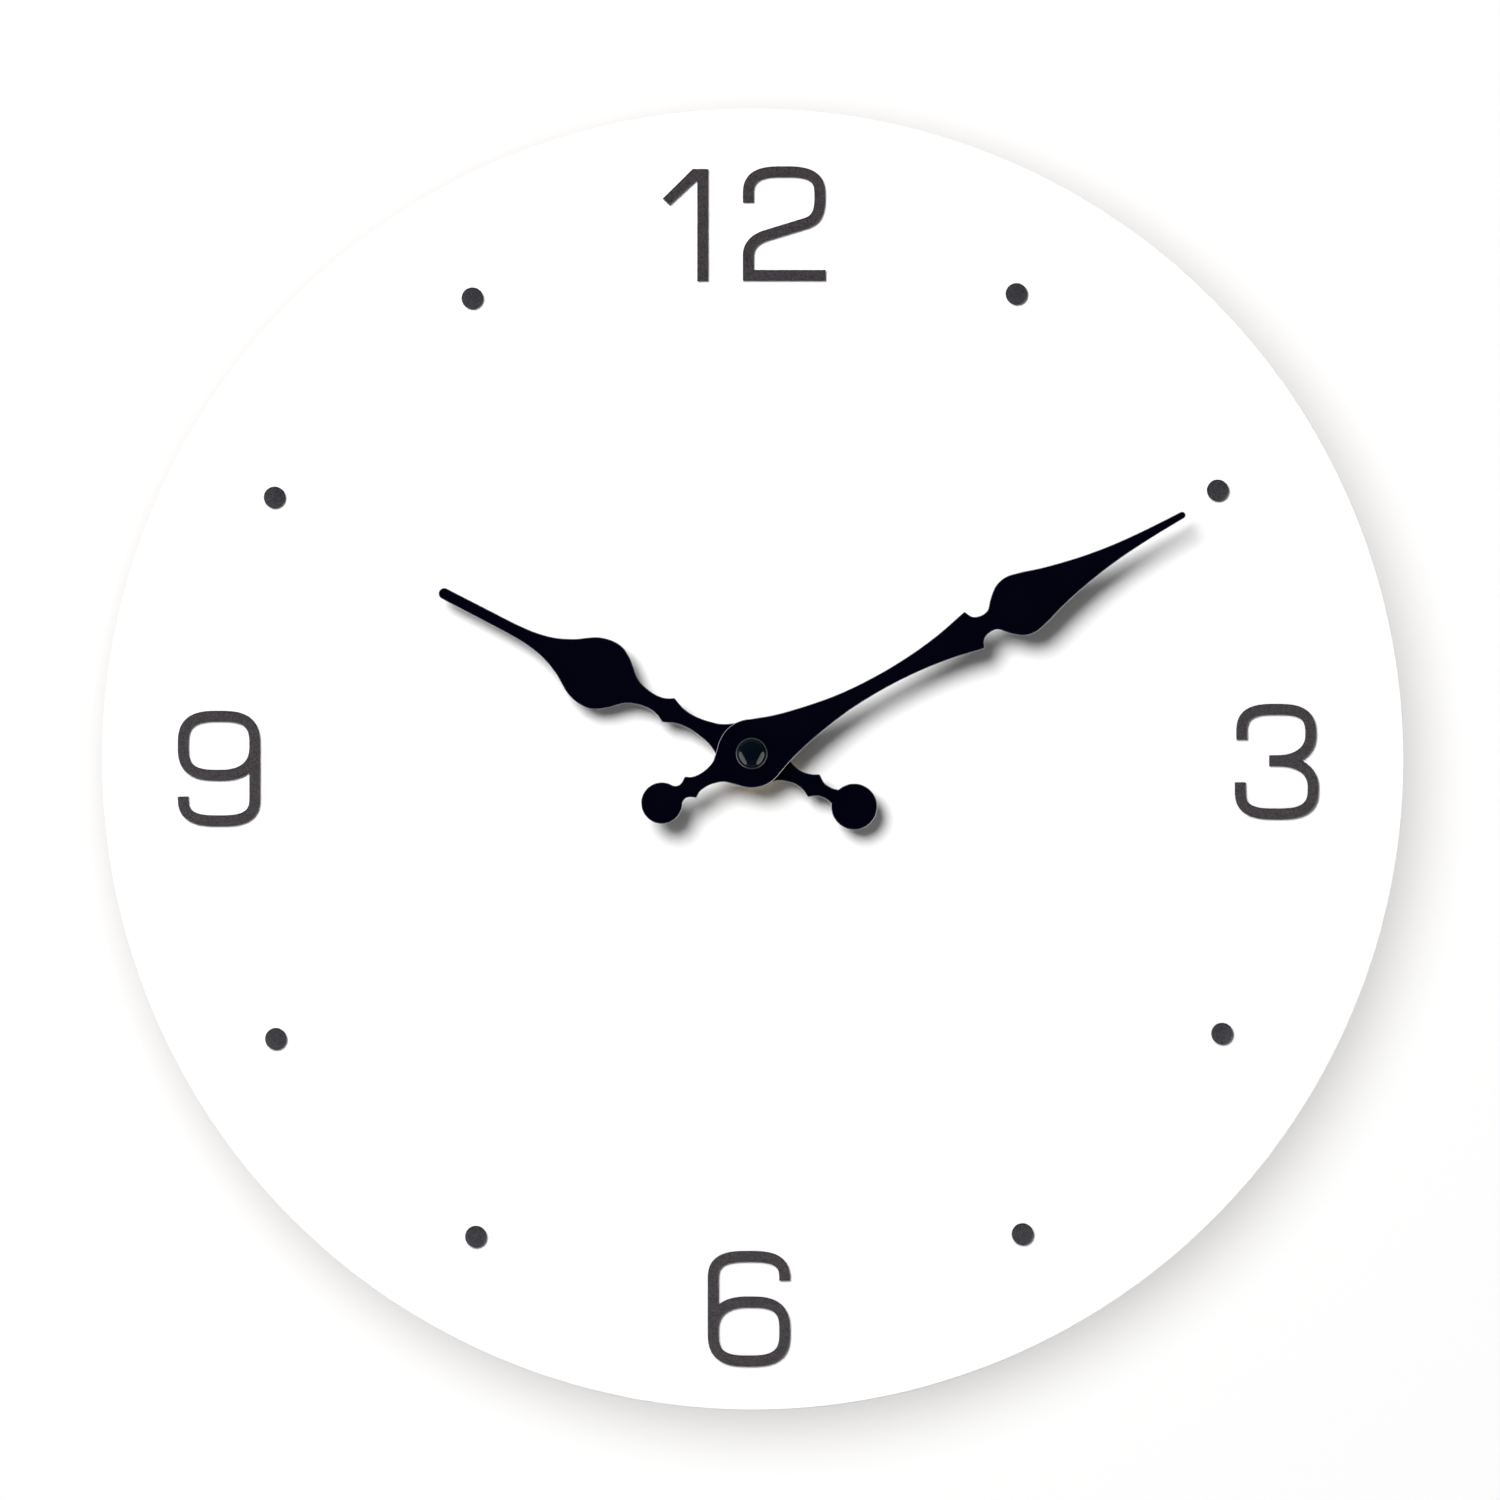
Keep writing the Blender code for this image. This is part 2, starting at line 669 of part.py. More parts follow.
def make_front_case(plastic):
    """The tray that holds the movement, with a wall round the battery bay and posts for the wheels."""
    half = CASE_SIZE / 2
    inner = half - CASE_WALL
    tray = prism(rounded_rectangle(-half, -half, half, half, CASE_CORNER), -1.5, CASE_FRONT)
    pocket = prism(rounded_rectangle(-inner, -inner, inner, inner, 1.7), -1.0, CASE_FLOOR)
    floor = CASE_FLOOR - 0.1
    fittings = [block(-26.0, BAY_WALL_BOTTOM, 26.0, BAY_WALL_TOP, -1.5, floor)]
    fittings += [rod(1.3, -10.2, floor, 12, post) for post in PLATE_POSTS]
    fittings += [rod(1.5, -3.5, floor, 12, post) for post in BOARD_POSTS]
    fittings += [rod(1.2, -13.2, floor, 16, THIRD_AXIS)]
    fittings += [rod(0.8, -12.9, floor, 16, MOTION_AXIS)]
    fittings += [rod(2.0, -14.5, floor, 16, KNOB_AXIS)]
    cuts = [
        rod(BUSH_RADIUS + 0.1, -15.0, -18.0, 32),
        rod(5.6, -16.2, -18.0, 32),
        rod(0.46, -12.0, -14.6, 12, THIRD_AXIS),
        rod(1.18, -14.0, -15.75, 16, KNOB_AXIS),
    ]
    case = piece("movement_front_case", plastic, tray)
    combine(case, pocket, "DIFFERENCE")
    for fitting in fittings:
        combine(case, fitting, "UNION")
    for cut in cuts:
        combine(case, cut, "DIFFERENCE")


def make_rear_cover(plastic):
    """The flat back with the battery opening, the well of the setting knob and a bearing for three axes."""
    half = CASE_SIZE / 2
    back = prism(
        rounded_rectangle(-half, -half, half, half, CASE_CORNER),
        0.0,
        COVER_FRONT,
        [rounded_rectangle(-25.9, -26.5, 25.9, BAY_WALL_BOTTOM, 1.0, 2), circle(6.7, 32, KNOB_AXIS)],
    )
    well = turned(
        [(1.2, -2.6), (6.7, -2.6), (6.7, -0.4), (7.6, -0.4), (7.6, -3.4), (1.2, -3.4)],
        32,
        KNOB_AXIS,
    )
    bearings = [rod(1.6, -0.8, -3.4, 16, axis) for axis in (ARBOR, STEP_AXIS, ROTOR_AXIS)]
    bores = [rod(0.58, -1.55, -4.0, 12, ARBOR)]
    bores += [rod(0.46, -1.55, -4.0, 12, axis) for axis in (STEP_AXIS, ROTOR_AXIS)]
    piece("movement_rear_cover", plastic, back, joined=[well, *bearings], cut=bores)


def make_middle_plate(plastic):
    """The plate between the two halves of the gear train, with three posts under the stator."""
    outline = [(-24.6, -9.4), (11.4, -9.4), (13.0, 6.0), (-2.0, 12.5), (-20.0, 16.5), (-24.6, 16.5)]
    holes = [circle(2.2, 20)]
    holes += [circle(0.46, 12, axis) for axis in (THIRD_AXIS, STEP_AXIS, ROTOR_AXIS)]
    plate = prism(outline, -9.1, -10.1, holes)
    posts = [rod(1.0, -5.5, -9.6, 12, post) for post in ((-23.5, 10.0), (-13.4, 10.0), (-23.5, -3.0))]
    piece("middle_plate", plastic, plate, joined=posts)


def make_hanger(steel):
    """The bracket above the movement, with a keyhole for the head of a nail."""
    foot = block(-10.0, 28.1, 10.0, 29.3, -0.3, -12.0)
    upright = prism(rounded_rectangle(-10.0, 28.1, 10.0, 46.0, 4.0), -0.3, -1.9)
    keyhole = arc((0.0, 34.5), 4.2, 123, 417, 20) + arc((0.0, 40.5), 2.3, 0, 180, 8)
    piece("hanger_bracket", steel, foot, joined=[upright], cut=[prism(keyhole, 1.0, -3.0)])


def make_power(nickel, wrapper):
    """The cell and its two contacts."""
    tip = CELL_LENGTH / 2
    cell = laid_along_x(
        turned(
            [
                (0, tip),
                (CELL_RADIUS - 0.6, tip),
                (CELL_RADIUS, tip - 0.6),
                (CELL_RADIUS, 1.2 - tip + 0.6),
                (CELL_RADIUS - 0.6, 1.5 - tip),
                (2.75, 1.5 - tip),
                (2.6, -tip),
                (0, -tip),
            ],
            28,
        )
    )
    made = piece("battery_cell", wrapper, cell)
    made.location = (0.0, CELL_Y * MM, CELL_Z * MM)
    spring = [(-26.45, -7.0), (-26.45, -24.0), (-26.0, -24.8), (-25.6, -24.2), (-25.45, -18.9), (-25.8, -13.5)]
    button = [(26.3, -7.0), (26.3, -12.0), (25.75, -15.0), (25.75, -22.8), (26.3, -25.4)]
    piece("battery_contact_negative", nickel, prism(stroke(spring, 0.25), -3.0, -11.0))
    piece("battery_contact_positive", nickel, prism(stroke(button, 0.3), -3.0, -11.0))


def make_circuit(laminate, epoxy, nickel):
    """The circuit board, the chip under its drop of resin, and the quartz crystal's can."""
    outline = [(-26.1, -9.8), (26.0, -9.8), (26.0, 8.0), (10.0, 8.0), (10.0, -4.5), (-26.1, -4.5)]
    piece("circuit_board", laminate, prism(outline, -2.6, -3.4), round_edges=False)
    dome = [(0, -3.45), (2.4, -3.45), (2.2, -3.95), (1.5, -4.35), (0.7, -4.55), (0, -4.6)]
    piece("chip_resin", epoxy, turned(dome, 20, (17.0, 2.5)))
    can = laid_along_x(turned([(0, -3.1), (0.8, -3.1), (1.0, -2.9), (1.0, 3.1), (0, 3.1)], 16))
    crystal = piece("quartz_crystal", nickel, can)
    crystal.location = (17.0 * MM, -4.5 * MM, -5.5 * MM)


def make_motor(steel, bobbin_plastic, copper, magnet):
    """The stepper motor: coil, core, stator and rotor."""
    ring = arc(ROTOR_AXIS, 4.6, -150, 24, 12)
    outline = ring + [(-11.9, 12.5), (-2.5, 12.5), (-2.5, 24.8), (-5.5, 24.8), (-5.5, 15.5), (-14.9, 15.5)]
    outline += [(-14.9, 4.6), (-22.6, 4.6), (-22.6, 24.8), (-25.6, 24.8), (-25.6, -3.7)]
    piece("stator_plate", steel, prism(outline, -4.6, -5.4, [circle(2.7, 24, ROTOR_AXIS)]))
    core = block(-25.4, COIL_Z - 1.5, -2.7, COIL_Z + 1.5, -3.65, -4.5)
    piece("coil_core", steel, core, round_edges=False)
    bobbin = section_along_x((-21.9, -6.2), 1.0, 2.1)
    flanges = [section_along_x(ends, 2.25, 3.2) for ends in ((-21.9, -21.1), (-7.0, -6.2))]
    channel = section_along_x((-23.0, -5.0), 0.55, 1.6)
    piece("coil_bobbin", bobbin_plastic, bobbin, joined=flanges, cut=[channel], round_edges=False)
    winding = section_along_x((-21.0, -7.1), 1.95, 2.9)
    inside = section_along_x((-22.0, -6.0), 1.05, 2.15)
    piece("coil_winding", copper, winding, cut=[inside], round_edges=False)
    rotor_phase = meshed(STEP_TEETH, 0.0, ROTOR_TEETH, STEP_AXIS, ROTOR_AXIS)
    pinion = prism(gear(ROTOR_TEETH, STEP_MODULE, rotor_phase, PINION_TOOTH), -6.3, -7.6)
    piece("rotor_pinion", bobbin_plastic, pinion, joined=[rod(0.4, -1.7, -9.8, 12)], axis=ROTOR_AXIS)
    piece("rotor_magnet", magnet, tube(2.2, 0.43, -3.9, -6.1, 20), axis=ROTOR_AXIS)


def section_along_x(ends, half_depth, half_height):
    """A bar along X through the coil's middle, with chamfered corners."""
    middle = -4.075
    cut = min(half_depth, half_height) * 0.25
    section = [
        (half_height, cut - half_depth),
        (half_height, half_depth - cut),
        (half_height - cut, half_depth),
        (cut - half_height, half_depth),
        (-half_height, half_depth - cut),
        (-half_height, cut - half_depth),
        (cut - half_height, -half_depth),
        (half_height - cut, -half_depth),
    ]
    vertices = [(x, middle + y, COIL_Z + z) for x in ends for z, y in section]
    count = len(section)
    faces = [tuple(range(count)), tuple(range(2 * count - 1, count - 1, -1))]
    faces += [(i, i + count, (i + 1) % count + count, (i + 1) % count) for i in range(count)]
    return vertices, faces


def make_train(ivory, red, steel, brass):
    """The wheels between the rotor and the hands, and the setting knob."""
    step_phase = meshed(SECONDS_TEETH, 0.0, STEP_PINION_TEETH, ARBOR, STEP_AXIS)
    third_phase = meshed(CENTRE_TEETH, 0.0, THIRD_PINION_TEETH, ARBOR, THIRD_AXIS)
    seconds_phase = meshed(THIRD_TEETH, 0.0, SECONDS_PINION_TEETH, THIRD_AXIS, ARBOR)
    motion_phase = meshed(MINUTE_PINION_TEETH, 0.0, MOTION_TEETH, ARBOR, MOTION_AXIS)
    hour_phase = meshed(MOTION_PINION_TEETH, 0.0, HOUR_TEETH, MOTION_AXIS, ARBOR)
    knob_phase = meshed(MOTION_TEETH, motion_phase, KNOB_TEETH, MOTION_AXIS, KNOB_AXIS)

    step = prism(gear(STEP_TEETH, STEP_MODULE, 0.0, WHEEL_TOOTH), -6.6, -7.4)
    step_pinion = prism(gear(STEP_PINION_TEETH, SECONDS_MODULE, step_phase, PINION_TOOTH), -7.0, -8.9)
    piece("step_wheel", ivory, step, joined=[step_pinion, rod(0.4, -1.7, -9.8, 12)], axis=STEP_AXIS)

    third = prism(gear(THIRD_TEETH, THIRD_MODULE, 0.0, WHEEL_TOOTH), -10.6, -11.4)
    third_pinion = prism(gear(THIRD_PINION_TEETH, CENTRE_MODULE, third_phase, PINION_TOOTH), -11.0, -12.8)
    piece("third_wheel", ivory, third, joined=[third_pinion, rod(0.4, -9.3, -14.2, 12)], axis=THIRD_AXIS)

    seconds = prism(gear(SECONDS_TEETH, SECONDS_MODULE, 0.0, WHEEL_TOOTH), -8.0, -8.8)
    hub = rod(1.6, -8.4, -10.4, 20)
    seconds_pinion = prism(gear(SECONDS_PINION_TEETH, THIRD_MODULE, seconds_phase, PINION_TOOTH), -10.0, -11.5)
    bore = rod(0.52, -7.0, -12.0, 12)
    piece("seconds_wheel", red, seconds, joined=[hub, seconds_pinion], cut=[bore])
    piece("seconds_arbor", steel, rod(0.5, -1.7, -16.5, 12))

    ring = gear(CENTRE_TEETH, CENTRE_MODULE, 0.0, WHEEL_TOOTH)
    piece("centre_wheel", ivory, prism(ring, -11.8, -12.6, [circle(MINUTE_PIPE_RADIUS + 0.03, 20)]))
    pipe = [
        (0.75, -11.65),
        (MINUTE_PIPE_RADIUS, -11.65),
        (MINUTE_PIPE_RADIUS, -31.85),
        (1.5, -31.85),
        (1.5, -33.3),
        (0.75, -33.3),
    ]
    minute_pinion = prism(
        gear(MINUTE_PINION_TEETH, MOTION_MODULE, 0.0, PINION_TOOTH), -12.9, -14.2, [circle(1.2, 20)]
    )
    piece("minute_pipe", brass, turned(pipe, 20), joined=[minute_pinion])

    motion = prism(gear(MOTION_TEETH, MOTION_MODULE, motion_phase, WHEEL_TOOTH), -13.1, -13.9)
    motion_pinion = prism(gear(MOTION_PINION_TEETH, HOUR_MODULE, 0.0, PINION_TOOTH), -13.5, -15.5)
    post_bore = rod(0.86, -12.0, -16.0, 16)
    piece("motion_wheel", ivory, motion, joined=[motion_pinion], cut=[post_bore], axis=MOTION_AXIS)

    hour = prism(gear(HOUR_TEETH, HOUR_MODULE, hour_phase, WHEEL_TOOTH), -14.5, -15.4, [circle(2.2, 20)])
    hour_pipe = tube(HOUR_PIPE_RADIUS, 1.75, -14.4, -29.6, 24)
    piece("hour_wheel", ivory, hour, joined=[hour_pipe])

    knob_gear = prism(gear(KNOB_TEETH, MOTION_MODULE, knob_phase, PINION_TOOTH), -12.9, -14.1)
    scallops = []
    for i in range(72):
        scallops.append(at(5.0 * i, 6.2 if i % 3 else 5.85))
    grip = prism(scallops, -0.4, -2.3)
    slot = block(-3.5, -0.5, 3.5, 0.5, 0.5, -1.1)
    shaft = rod(1.1, -2.0, -15.6, 16)
    piece("setting_knob", red, grip, joined=[shaft, knob_gear], cut=[slot], axis=KNOB_AXIS)


def main():
    """Builds every piece of the clock at rest."""
    clear_scene()
    board_paint = make_material("board_paint", (0.86, 0.86, 0.85), 0.5)
    face_white = make_material("face_white", (0.93, 0.93, 0.93), 0.35)
    charcoal = make_material("charcoal_plastic", (0.06, 0.052, 0.054), 0.55)
    dot_black = make_material("dot_plastic", (0.042, 0.042, 0.048), 0.5)
    lacquer = make_material("black_lacquer", (0.006, 0.006, 0.01), 0.3, 0.2)
    enamel = make_material("black_enamel", (0.008, 0.01, 0.012), 0.12, 0.3)
    brass = make_material("brass", (0.72, 0.52, 0.24), 0.3, 1.0)
    rubber = make_material("black_rubber", (0.02, 0.02, 0.02), 0.85)
    case_black = make_material("case_plastic", (0.03, 0.03, 0.032), 0.5)
    cover_black = make_material("cover_plastic", (0.035, 0.035, 0.037), 0.45)
    plate_grey = make_material("plate_plastic", (0.35, 0.35, 0.36), 0.5)
    ivory = make_material("wheel_plastic", (0.82, 0.78, 0.66), 0.4)
    red = make_material("red_plastic", (0.55, 0.06, 0.04), 0.4)
    steel = make_material("spring_steel", (0.62, 0.63, 0.65), 0.3, 1.0)
    bracket = make_material("bracket_zinc", (0.6, 0.61, 0.6), 0.4, 1.0)
    nickel = make_material("nickel", (0.7, 0.69, 0.66), 0.28, 1.0)
    wrapper = make_material("cell_wrapper", (0.08, 0.16, 0.34), 0.35)
    laminate = make_material("board_laminate", (0.05, 0.26, 0.12), 0.5)
    epoxy = make_material("chip_resin", (0.015, 0.015, 0.016), 0.35)
    natural = make_material("bobbin_plastic", (0.75, 0.74, 0.7), 0.45)
    copper = make_material("copper_wire", (0.7, 0.32, 0.14), 0.35, 1.0)
    ferrite = make_material("magnet", (0.1, 0.1, 0.11), 0.4, 0.6)

    make_dial(board_paint, face_white)
    make_numerals(charcoal)
    make_dots(dot_black)
    make_hands(lacquer, brass)
    make_cap_nut(enamel)
    make_fixing(brass, rubber)
    make_front_case(case_black)
    make_rear_cover(cover_black)
    make_middle_plate(plate_grey)
    make_hanger(bracket)
    make_power(nickel, wrapper)
    make_circuit(laminate, epoxy, nickel)
    make_motor(steel, natural, copper, ferrite)
    make_train(ivory, red, steel, brass)


main()
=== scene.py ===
"""Looks of a frameless wall clock: white disc, raised numerals, black spade hands and the movement behind.

Each sub-assembly is a class that holds its own sizes in millimetres and builds its own pieces. The clock
faces -Y and hangs on a wall at y = 0, with +Z up. The origin is where the arbor's axis meets the wall.
"""

import json
import logging
import math
from dataclasses import dataclass, field
from enum import Enum
from typing import Any, Iterable, Sequence

import bmesh
import bpy
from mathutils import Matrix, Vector
from mathutils.geometry import tessellate_polygon


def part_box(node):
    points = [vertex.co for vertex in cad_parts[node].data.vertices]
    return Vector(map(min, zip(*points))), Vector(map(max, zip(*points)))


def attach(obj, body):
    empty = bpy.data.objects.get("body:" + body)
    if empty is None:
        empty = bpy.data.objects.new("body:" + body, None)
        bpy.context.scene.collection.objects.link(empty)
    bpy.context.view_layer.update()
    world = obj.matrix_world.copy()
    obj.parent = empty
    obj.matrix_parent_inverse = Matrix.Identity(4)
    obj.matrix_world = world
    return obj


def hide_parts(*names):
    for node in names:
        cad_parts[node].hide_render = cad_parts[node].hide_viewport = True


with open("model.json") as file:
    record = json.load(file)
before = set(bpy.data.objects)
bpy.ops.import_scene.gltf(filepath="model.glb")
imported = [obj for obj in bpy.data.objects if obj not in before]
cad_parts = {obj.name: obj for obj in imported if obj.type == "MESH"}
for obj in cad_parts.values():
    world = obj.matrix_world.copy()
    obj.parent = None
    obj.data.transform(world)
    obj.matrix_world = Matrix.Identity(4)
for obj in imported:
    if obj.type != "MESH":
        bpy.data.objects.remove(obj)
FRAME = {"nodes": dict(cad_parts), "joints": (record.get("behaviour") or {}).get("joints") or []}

Point = tuple[float, float]
Place = tuple[float, float, float]
Colour = tuple[float, float, float]
Outline = list[Point]
Socket = bpy.types.NodeSocket
Piece = bpy.types.Object

MM = 0.001
QUARTER_TURN = math.radians(90)
BLOTCHES_PER_METRE = 45.0
ROUGHNESS_SWING = 0.15
BUMP_STRENGTH = 0.6
LOG = logging.getLogger("wall_clock")


class Grain(Enum):
    """What the surface of a finish is like, seen close up."""

    MOULDED = "moulded"
    SPECKLED = "speckled"
    BRUSHED = "brushed"
    TURNED = "turned"
    FIBRE = "fibre"
    TRACKS = "tracks"


class Layer(Enum):
    """Depths of the flat pieces, as (back, front), in millimetres along Y."""

    BRACKET = (-0.3, -1.9)
    GASKET = (-17.1, -18.1)
    BOARD = (-18.2, -23.2)
    FACE = (-23.25, -23.65)
    WASHER = (-23.7, -24.2)
    MARKERS = (-23.7, -24.5)
    HEX_NUT = (-24.25, -26.45)
    HOUR_HAND = (-28.8, -29.3)
    MINUTE_HAND = (-31.3, -31.8)


class NodeSheet:
    """Adds and links nodes in one node tree."""

    def __init__(self, tree: bpy.types.NodeTree) -> None:
        """Keeps the tree that the nodes go into."""
        self.tree = tree

    def add(self, kind: str, inputs: dict[Any, Any] | None = None, **settings: Any) -> bpy.types.Node:
        """Adds a node.

        Args:
            kind: The node's type name.
            inputs: Values or sockets for its inputs, by name or number.
            settings: Attributes to set on the node first.

        Returns:
            The new node.
        """
        node = self.tree.nodes.new(kind)
        for name, value in settings.items():
            setattr(node, name, value)
        for name, value in (inputs or {}).items():
            self.feed(node.inputs[name], value)
        return node

    def feed(self, socket: Socket, value: Any) -> None:
        """Links a socket to an input, or gives the input a plain value.

        Args:
            socket: The input.
            value: An output socket, or a plain value.
        """
        if isinstance(value, Socket):
            self.tree.links.new(value, socket)
        else:
            socket.default_value = value

    def maths(self, operation: str, first: Any, second: Any) -> Socket:
        """Adds a Math node and returns its result."""
        return self.add("ShaderNodeMath", {0: first, 1: second}, operation=operation).outputs[0]

    def blend(self, share: Any, first: Any, second: Any) -> Socket:
        """Adds a Mix node for colours, which are its inputs 6 and 7, and returns its result."""
        return self.add("ShaderNodeMix", {0: share, 6: first, 7: second}, data_type="RGBA").outputs[2]

    def stretch(self, value: Socket, source: Point, target: Point = (0.0, 1.0)) -> Socket:
        """Adds a Map Range node, which takes one range to another, and returns its result."""
        ends = {1: source[0], 2: source[1], 3: target[0], 4: target[1]}
        return self.add("ShaderNodeMapRange", {0: value, **ends}).outputs[0]


@dataclass(frozen=True)
class Finish:
    """One surface finish, made of nodes that read Object coordinates.

    The size of its grain and the relief are in millimetres. The variation is how far the grain lightens and
    darkens the colour, as a share of it. Broad blotches lead part of the way to the second colour.
    """

    title: str
    slot: str
    colour: Colour
    roughness: float
    grain: Grain = Grain.MOULDED
    size: float = 0.4
    relief: float = 0.01
    variation: float = 0.08
    metallic: float = 0.0
    specular: float = 0.5
    coat: float = 0.0
    second: Colour | None = None

    def shade(self, amount: float) -> tuple[float, float, float, float]:
        """The colour made lighter or darker by a share of itself."""
        return (*(min(1.0, max(0.0, c * (1.0 + amount))) for c in self.colour), 1.0)

    def material(self) -> bpy.types.Material:
        """Makes the material, or finds it if it was made before.

        Returns:
            The material.
        """
        found = bpy.data.materials.get(self.title)
        if found is not None:
            return found
        material = bpy.data.materials.new(self.title)
        material.use_nodes = True
        sheet = NodeSheet(material.node_tree)
        shader = material.node_tree.nodes["Principled BSDF"].inputs
        shader["Metallic"].default_value = self.metallic
        shader["Specular IOR Level"].default_value = self.specular
        shader["Coat Weight"].default_value = self.coat
        place = sheet.add("ShaderNodeTexCoord").outputs["Object"]
        fine = self.pattern(sheet, place)
        blotches = {"Vector": place, "Scale": BLOTCHES_PER_METRE, "Detail": 2.0}
        broad = sheet.add("ShaderNodeTexNoise", blotches).outputs[0]
        tint = sheet.blend(fine, self.shade(-self.variation), self.shade(self.variation))
        halfway = sheet.blend(0.5, tint, (*(self.second or self.colour), 1.0))
        sheet.feed(shader["Base Color"], sheet.blend(broad, tint, halfway))
        glossier = self.roughness * (1 - ROUGHNESS_SWING)
        duller = min(1.0, self.roughness * (1 + ROUGHNESS_SWING))
        sheet.feed(shader["Roughness"], sheet.stretch(broad, (0.3, 0.7), (glossier, duller)))
        bump = {"Strength": BUMP_STRENGTH, "Distance": self.relief * MM, "Height": fine}
        sheet.feed(shader["Normal"], sheet.add("ShaderNodeBump", bump).outputs[0])
        return material

    def pattern(self, sheet: NodeSheet, place: Socket) -> Socket:
        """The fine pattern of the grain.

        Args:
            sheet: Where its nodes go.
            place: The Object coordinates.

        Returns:
            A socket that runs from 0 to 1.
        """
        scale = 1.0 / (self.size * MM)
        if self.grain is Grain.TURNED:
            uneven = {"Distortion": 1.5, "Detail": 2.0, "Detail Scale": 3.0}
            wave = {"Vector": place, "Scale": scale * 0.5, **uneven}
            rings = sheet.add("ShaderNodeTexWave", wave, wave_type="RINGS", rings_direction="Y")
            return rings.outputs["Fac"]
        if self.grain is Grain.TRACKS:
            cells = {"Vector": place, "Scale": scale, "Randomness": 0.45}
            tracks = sheet.add("ShaderNodeTexVoronoi", cells, feature="F1", distance="CHEBYCHEV")
            return sheet.stretch(tracks.outputs["Distance"], (0.34, 0.37))
        if self.grain is Grain.BRUSHED:
            place = sheet.add("ShaderNodeMapping", {"Vector": place, "Scale": (0.04, 1.0, 1.0)}).outputs[0]
        if self.grain is Grain.FIBRE:
            strands = {"Vector": place, "Scale": (0.35, 1.0, 1.0), "Rotation": (0, 0.6, 0)}
            place = sheet.add("ShaderNodeMapping", strands).outputs[0]
        detail = {Grain.SPECKLED: 6.0, Grain.FIBRE: 9.0}.get(self.grain, 3.0)
        contrast = 0.16 if self.grain is Grain.SPECKLED else 0.25
        noise = {"Vector": place, "Scale": scale, "Detail": detail, "Roughness": 0.6}
        raw = sheet.add("ShaderNodeTexNoise", noise).outputs[0]
        return sheet.stretch(raw, (0.5 - contrast, 0.5 + contrast))


WHITE_PAINT = Finish(
    "white_paint", "board_paint", (0.9, 0.9, 0.895), 0.5, size=0.6, relief=0.01, variation=0.012
)
FIBREBOARD = Finish(
    "bare_fibreboard", "board_paint", (0.44, 0.34, 0.23), 0.85, Grain.FIBRE,
    size=0.5, relief=0.03, variation=0.3, second=(0.34, 0.26, 0.17),
)
WHITE_FACE = Finish(
    "white_face_sheet", "face_white", (0.94, 0.94, 0.94), 0.42, size=0.5, relief=0.004, variation=0.006
)
CHARCOAL = Finish(
    "charcoal_numerals", "charcoal_plastic", (0.034, 0.028, 0.029), 0.55, Grain.SPECKLED,
    size=0.3, relief=0.1, variation=0.95, specular=0.2, second=(0.020, 0.018, 0.030),
)
# Darker finish for the numerals' sloped edges and walls: painted shade along their edges.
CHARCOAL_PAINTED_SHADE = Finish(
    "charcoal_painted_edge_shade", "charcoal_plastic", (0.012, 0.011, 0.012), 0.5, Grain.SPECKLED,
    size=0.25, relief=0.03, variation=0.6, specular=0.2,
)
DOT_BLACK = Finish(
    "near_black_dots", "dot_plastic", (0.023, 0.023, 0.028), 0.55, Grain.SPECKLED,
    size=0.3, relief=0.08, variation=0.9, specular=0.2,
)
# Darker finish for the dots' sides: painted shade along their edges.
DOT_PAINTED_SHADE = Finish(
    "dot_edge", "dot_plastic", (0.006, 0.006, 0.007), 0.5, Grain.SPECKLED,
    size=0.25, relief=0.03, variation=0.5, specular=0.2,
)
LACQUER = Finish(
    "black_hand_lacquer", "black_lacquer", (0.0003, 0.0003, 0.0034), 0.5,
    size=0.12, relief=0.002, variation=0.3, specular=0.015, second=(0.0002, 0.0002, 0.0040),
)
# Light grey finish for the hands' cut edges: bare metal, and partly a painted highlight along the edge.
BARE_EDGE_PAINTED_HIGHLIGHT = Finish(
    "punched_edge_painted_highlight", "black_lacquer", (0.19, 0.18, 0.20), 0.5, Grain.BRUSHED,
    size=0.2, relief=0.004, variation=0.2, second=(0.17, 0.17, 0.19),
)
ENAMEL = Finish(
    "gloss_black_enamel", "black_enamel", (0.0006, 0.0022, 0.0055), 0.1,
    size=0.5, relief=0.001, variation=0.15, specular=0.13,
)
RIM_METAL = Finish(
    "nut_rim", "black_enamel", (0.022, 0.028, 0.032), 0.4, Grain.TURNED, size=0.2, relief=0.003, variation=0.2
)
BRASS = Finish(
    "turned_brass", "brass", (0.68, 0.53, 0.31), 0.27, Grain.TURNED,
    size=0.12, relief=0.003, variation=0.1, metallic=1.0, second=(0.55, 0.42, 0.25),
)
RUBBER = Finish(
    "black_rubber", "black_rubber", (0.018, 0.018, 0.018), 0.82, size=0.3, relief=0.02, variation=0.2
)
CASE_PLASTIC = Finish(
    "case_plastic", "case_plastic", (0.022, 0.022, 0.024), 0.5, size=0.28, relief=0.03, variation=0.18
)
COVER_PLASTIC = Finish(
    "cover_plastic", "cover_plastic", (0.026, 0.026, 0.028), 0.46, size=0.25, relief=0.025, variation=0.18
)
PRINT = Finish(
    "pale_printing", "cover_plastic", (0.42, 0.42, 0.42), 0.6, Grain.SPECKLED,
    size=0.2, relief=0.004, variation=0.2,
)
GREY_PLASTIC = Finish("grey_plate", "plate_plastic", (0.34, 0.34, 0.35), 0.5, variation=0.06)
IVORY = Finish(
    "ivory_acetal", "wheel_plastic", (0.83, 0.79, 0.66), 0.38, size=0.5, relief=0.006, variation=0.05
)
RED_ACETAL = Finish("red_acetal", "red_plastic", (0.5, 0.035, 0.025), 0.38, relief=0.008)
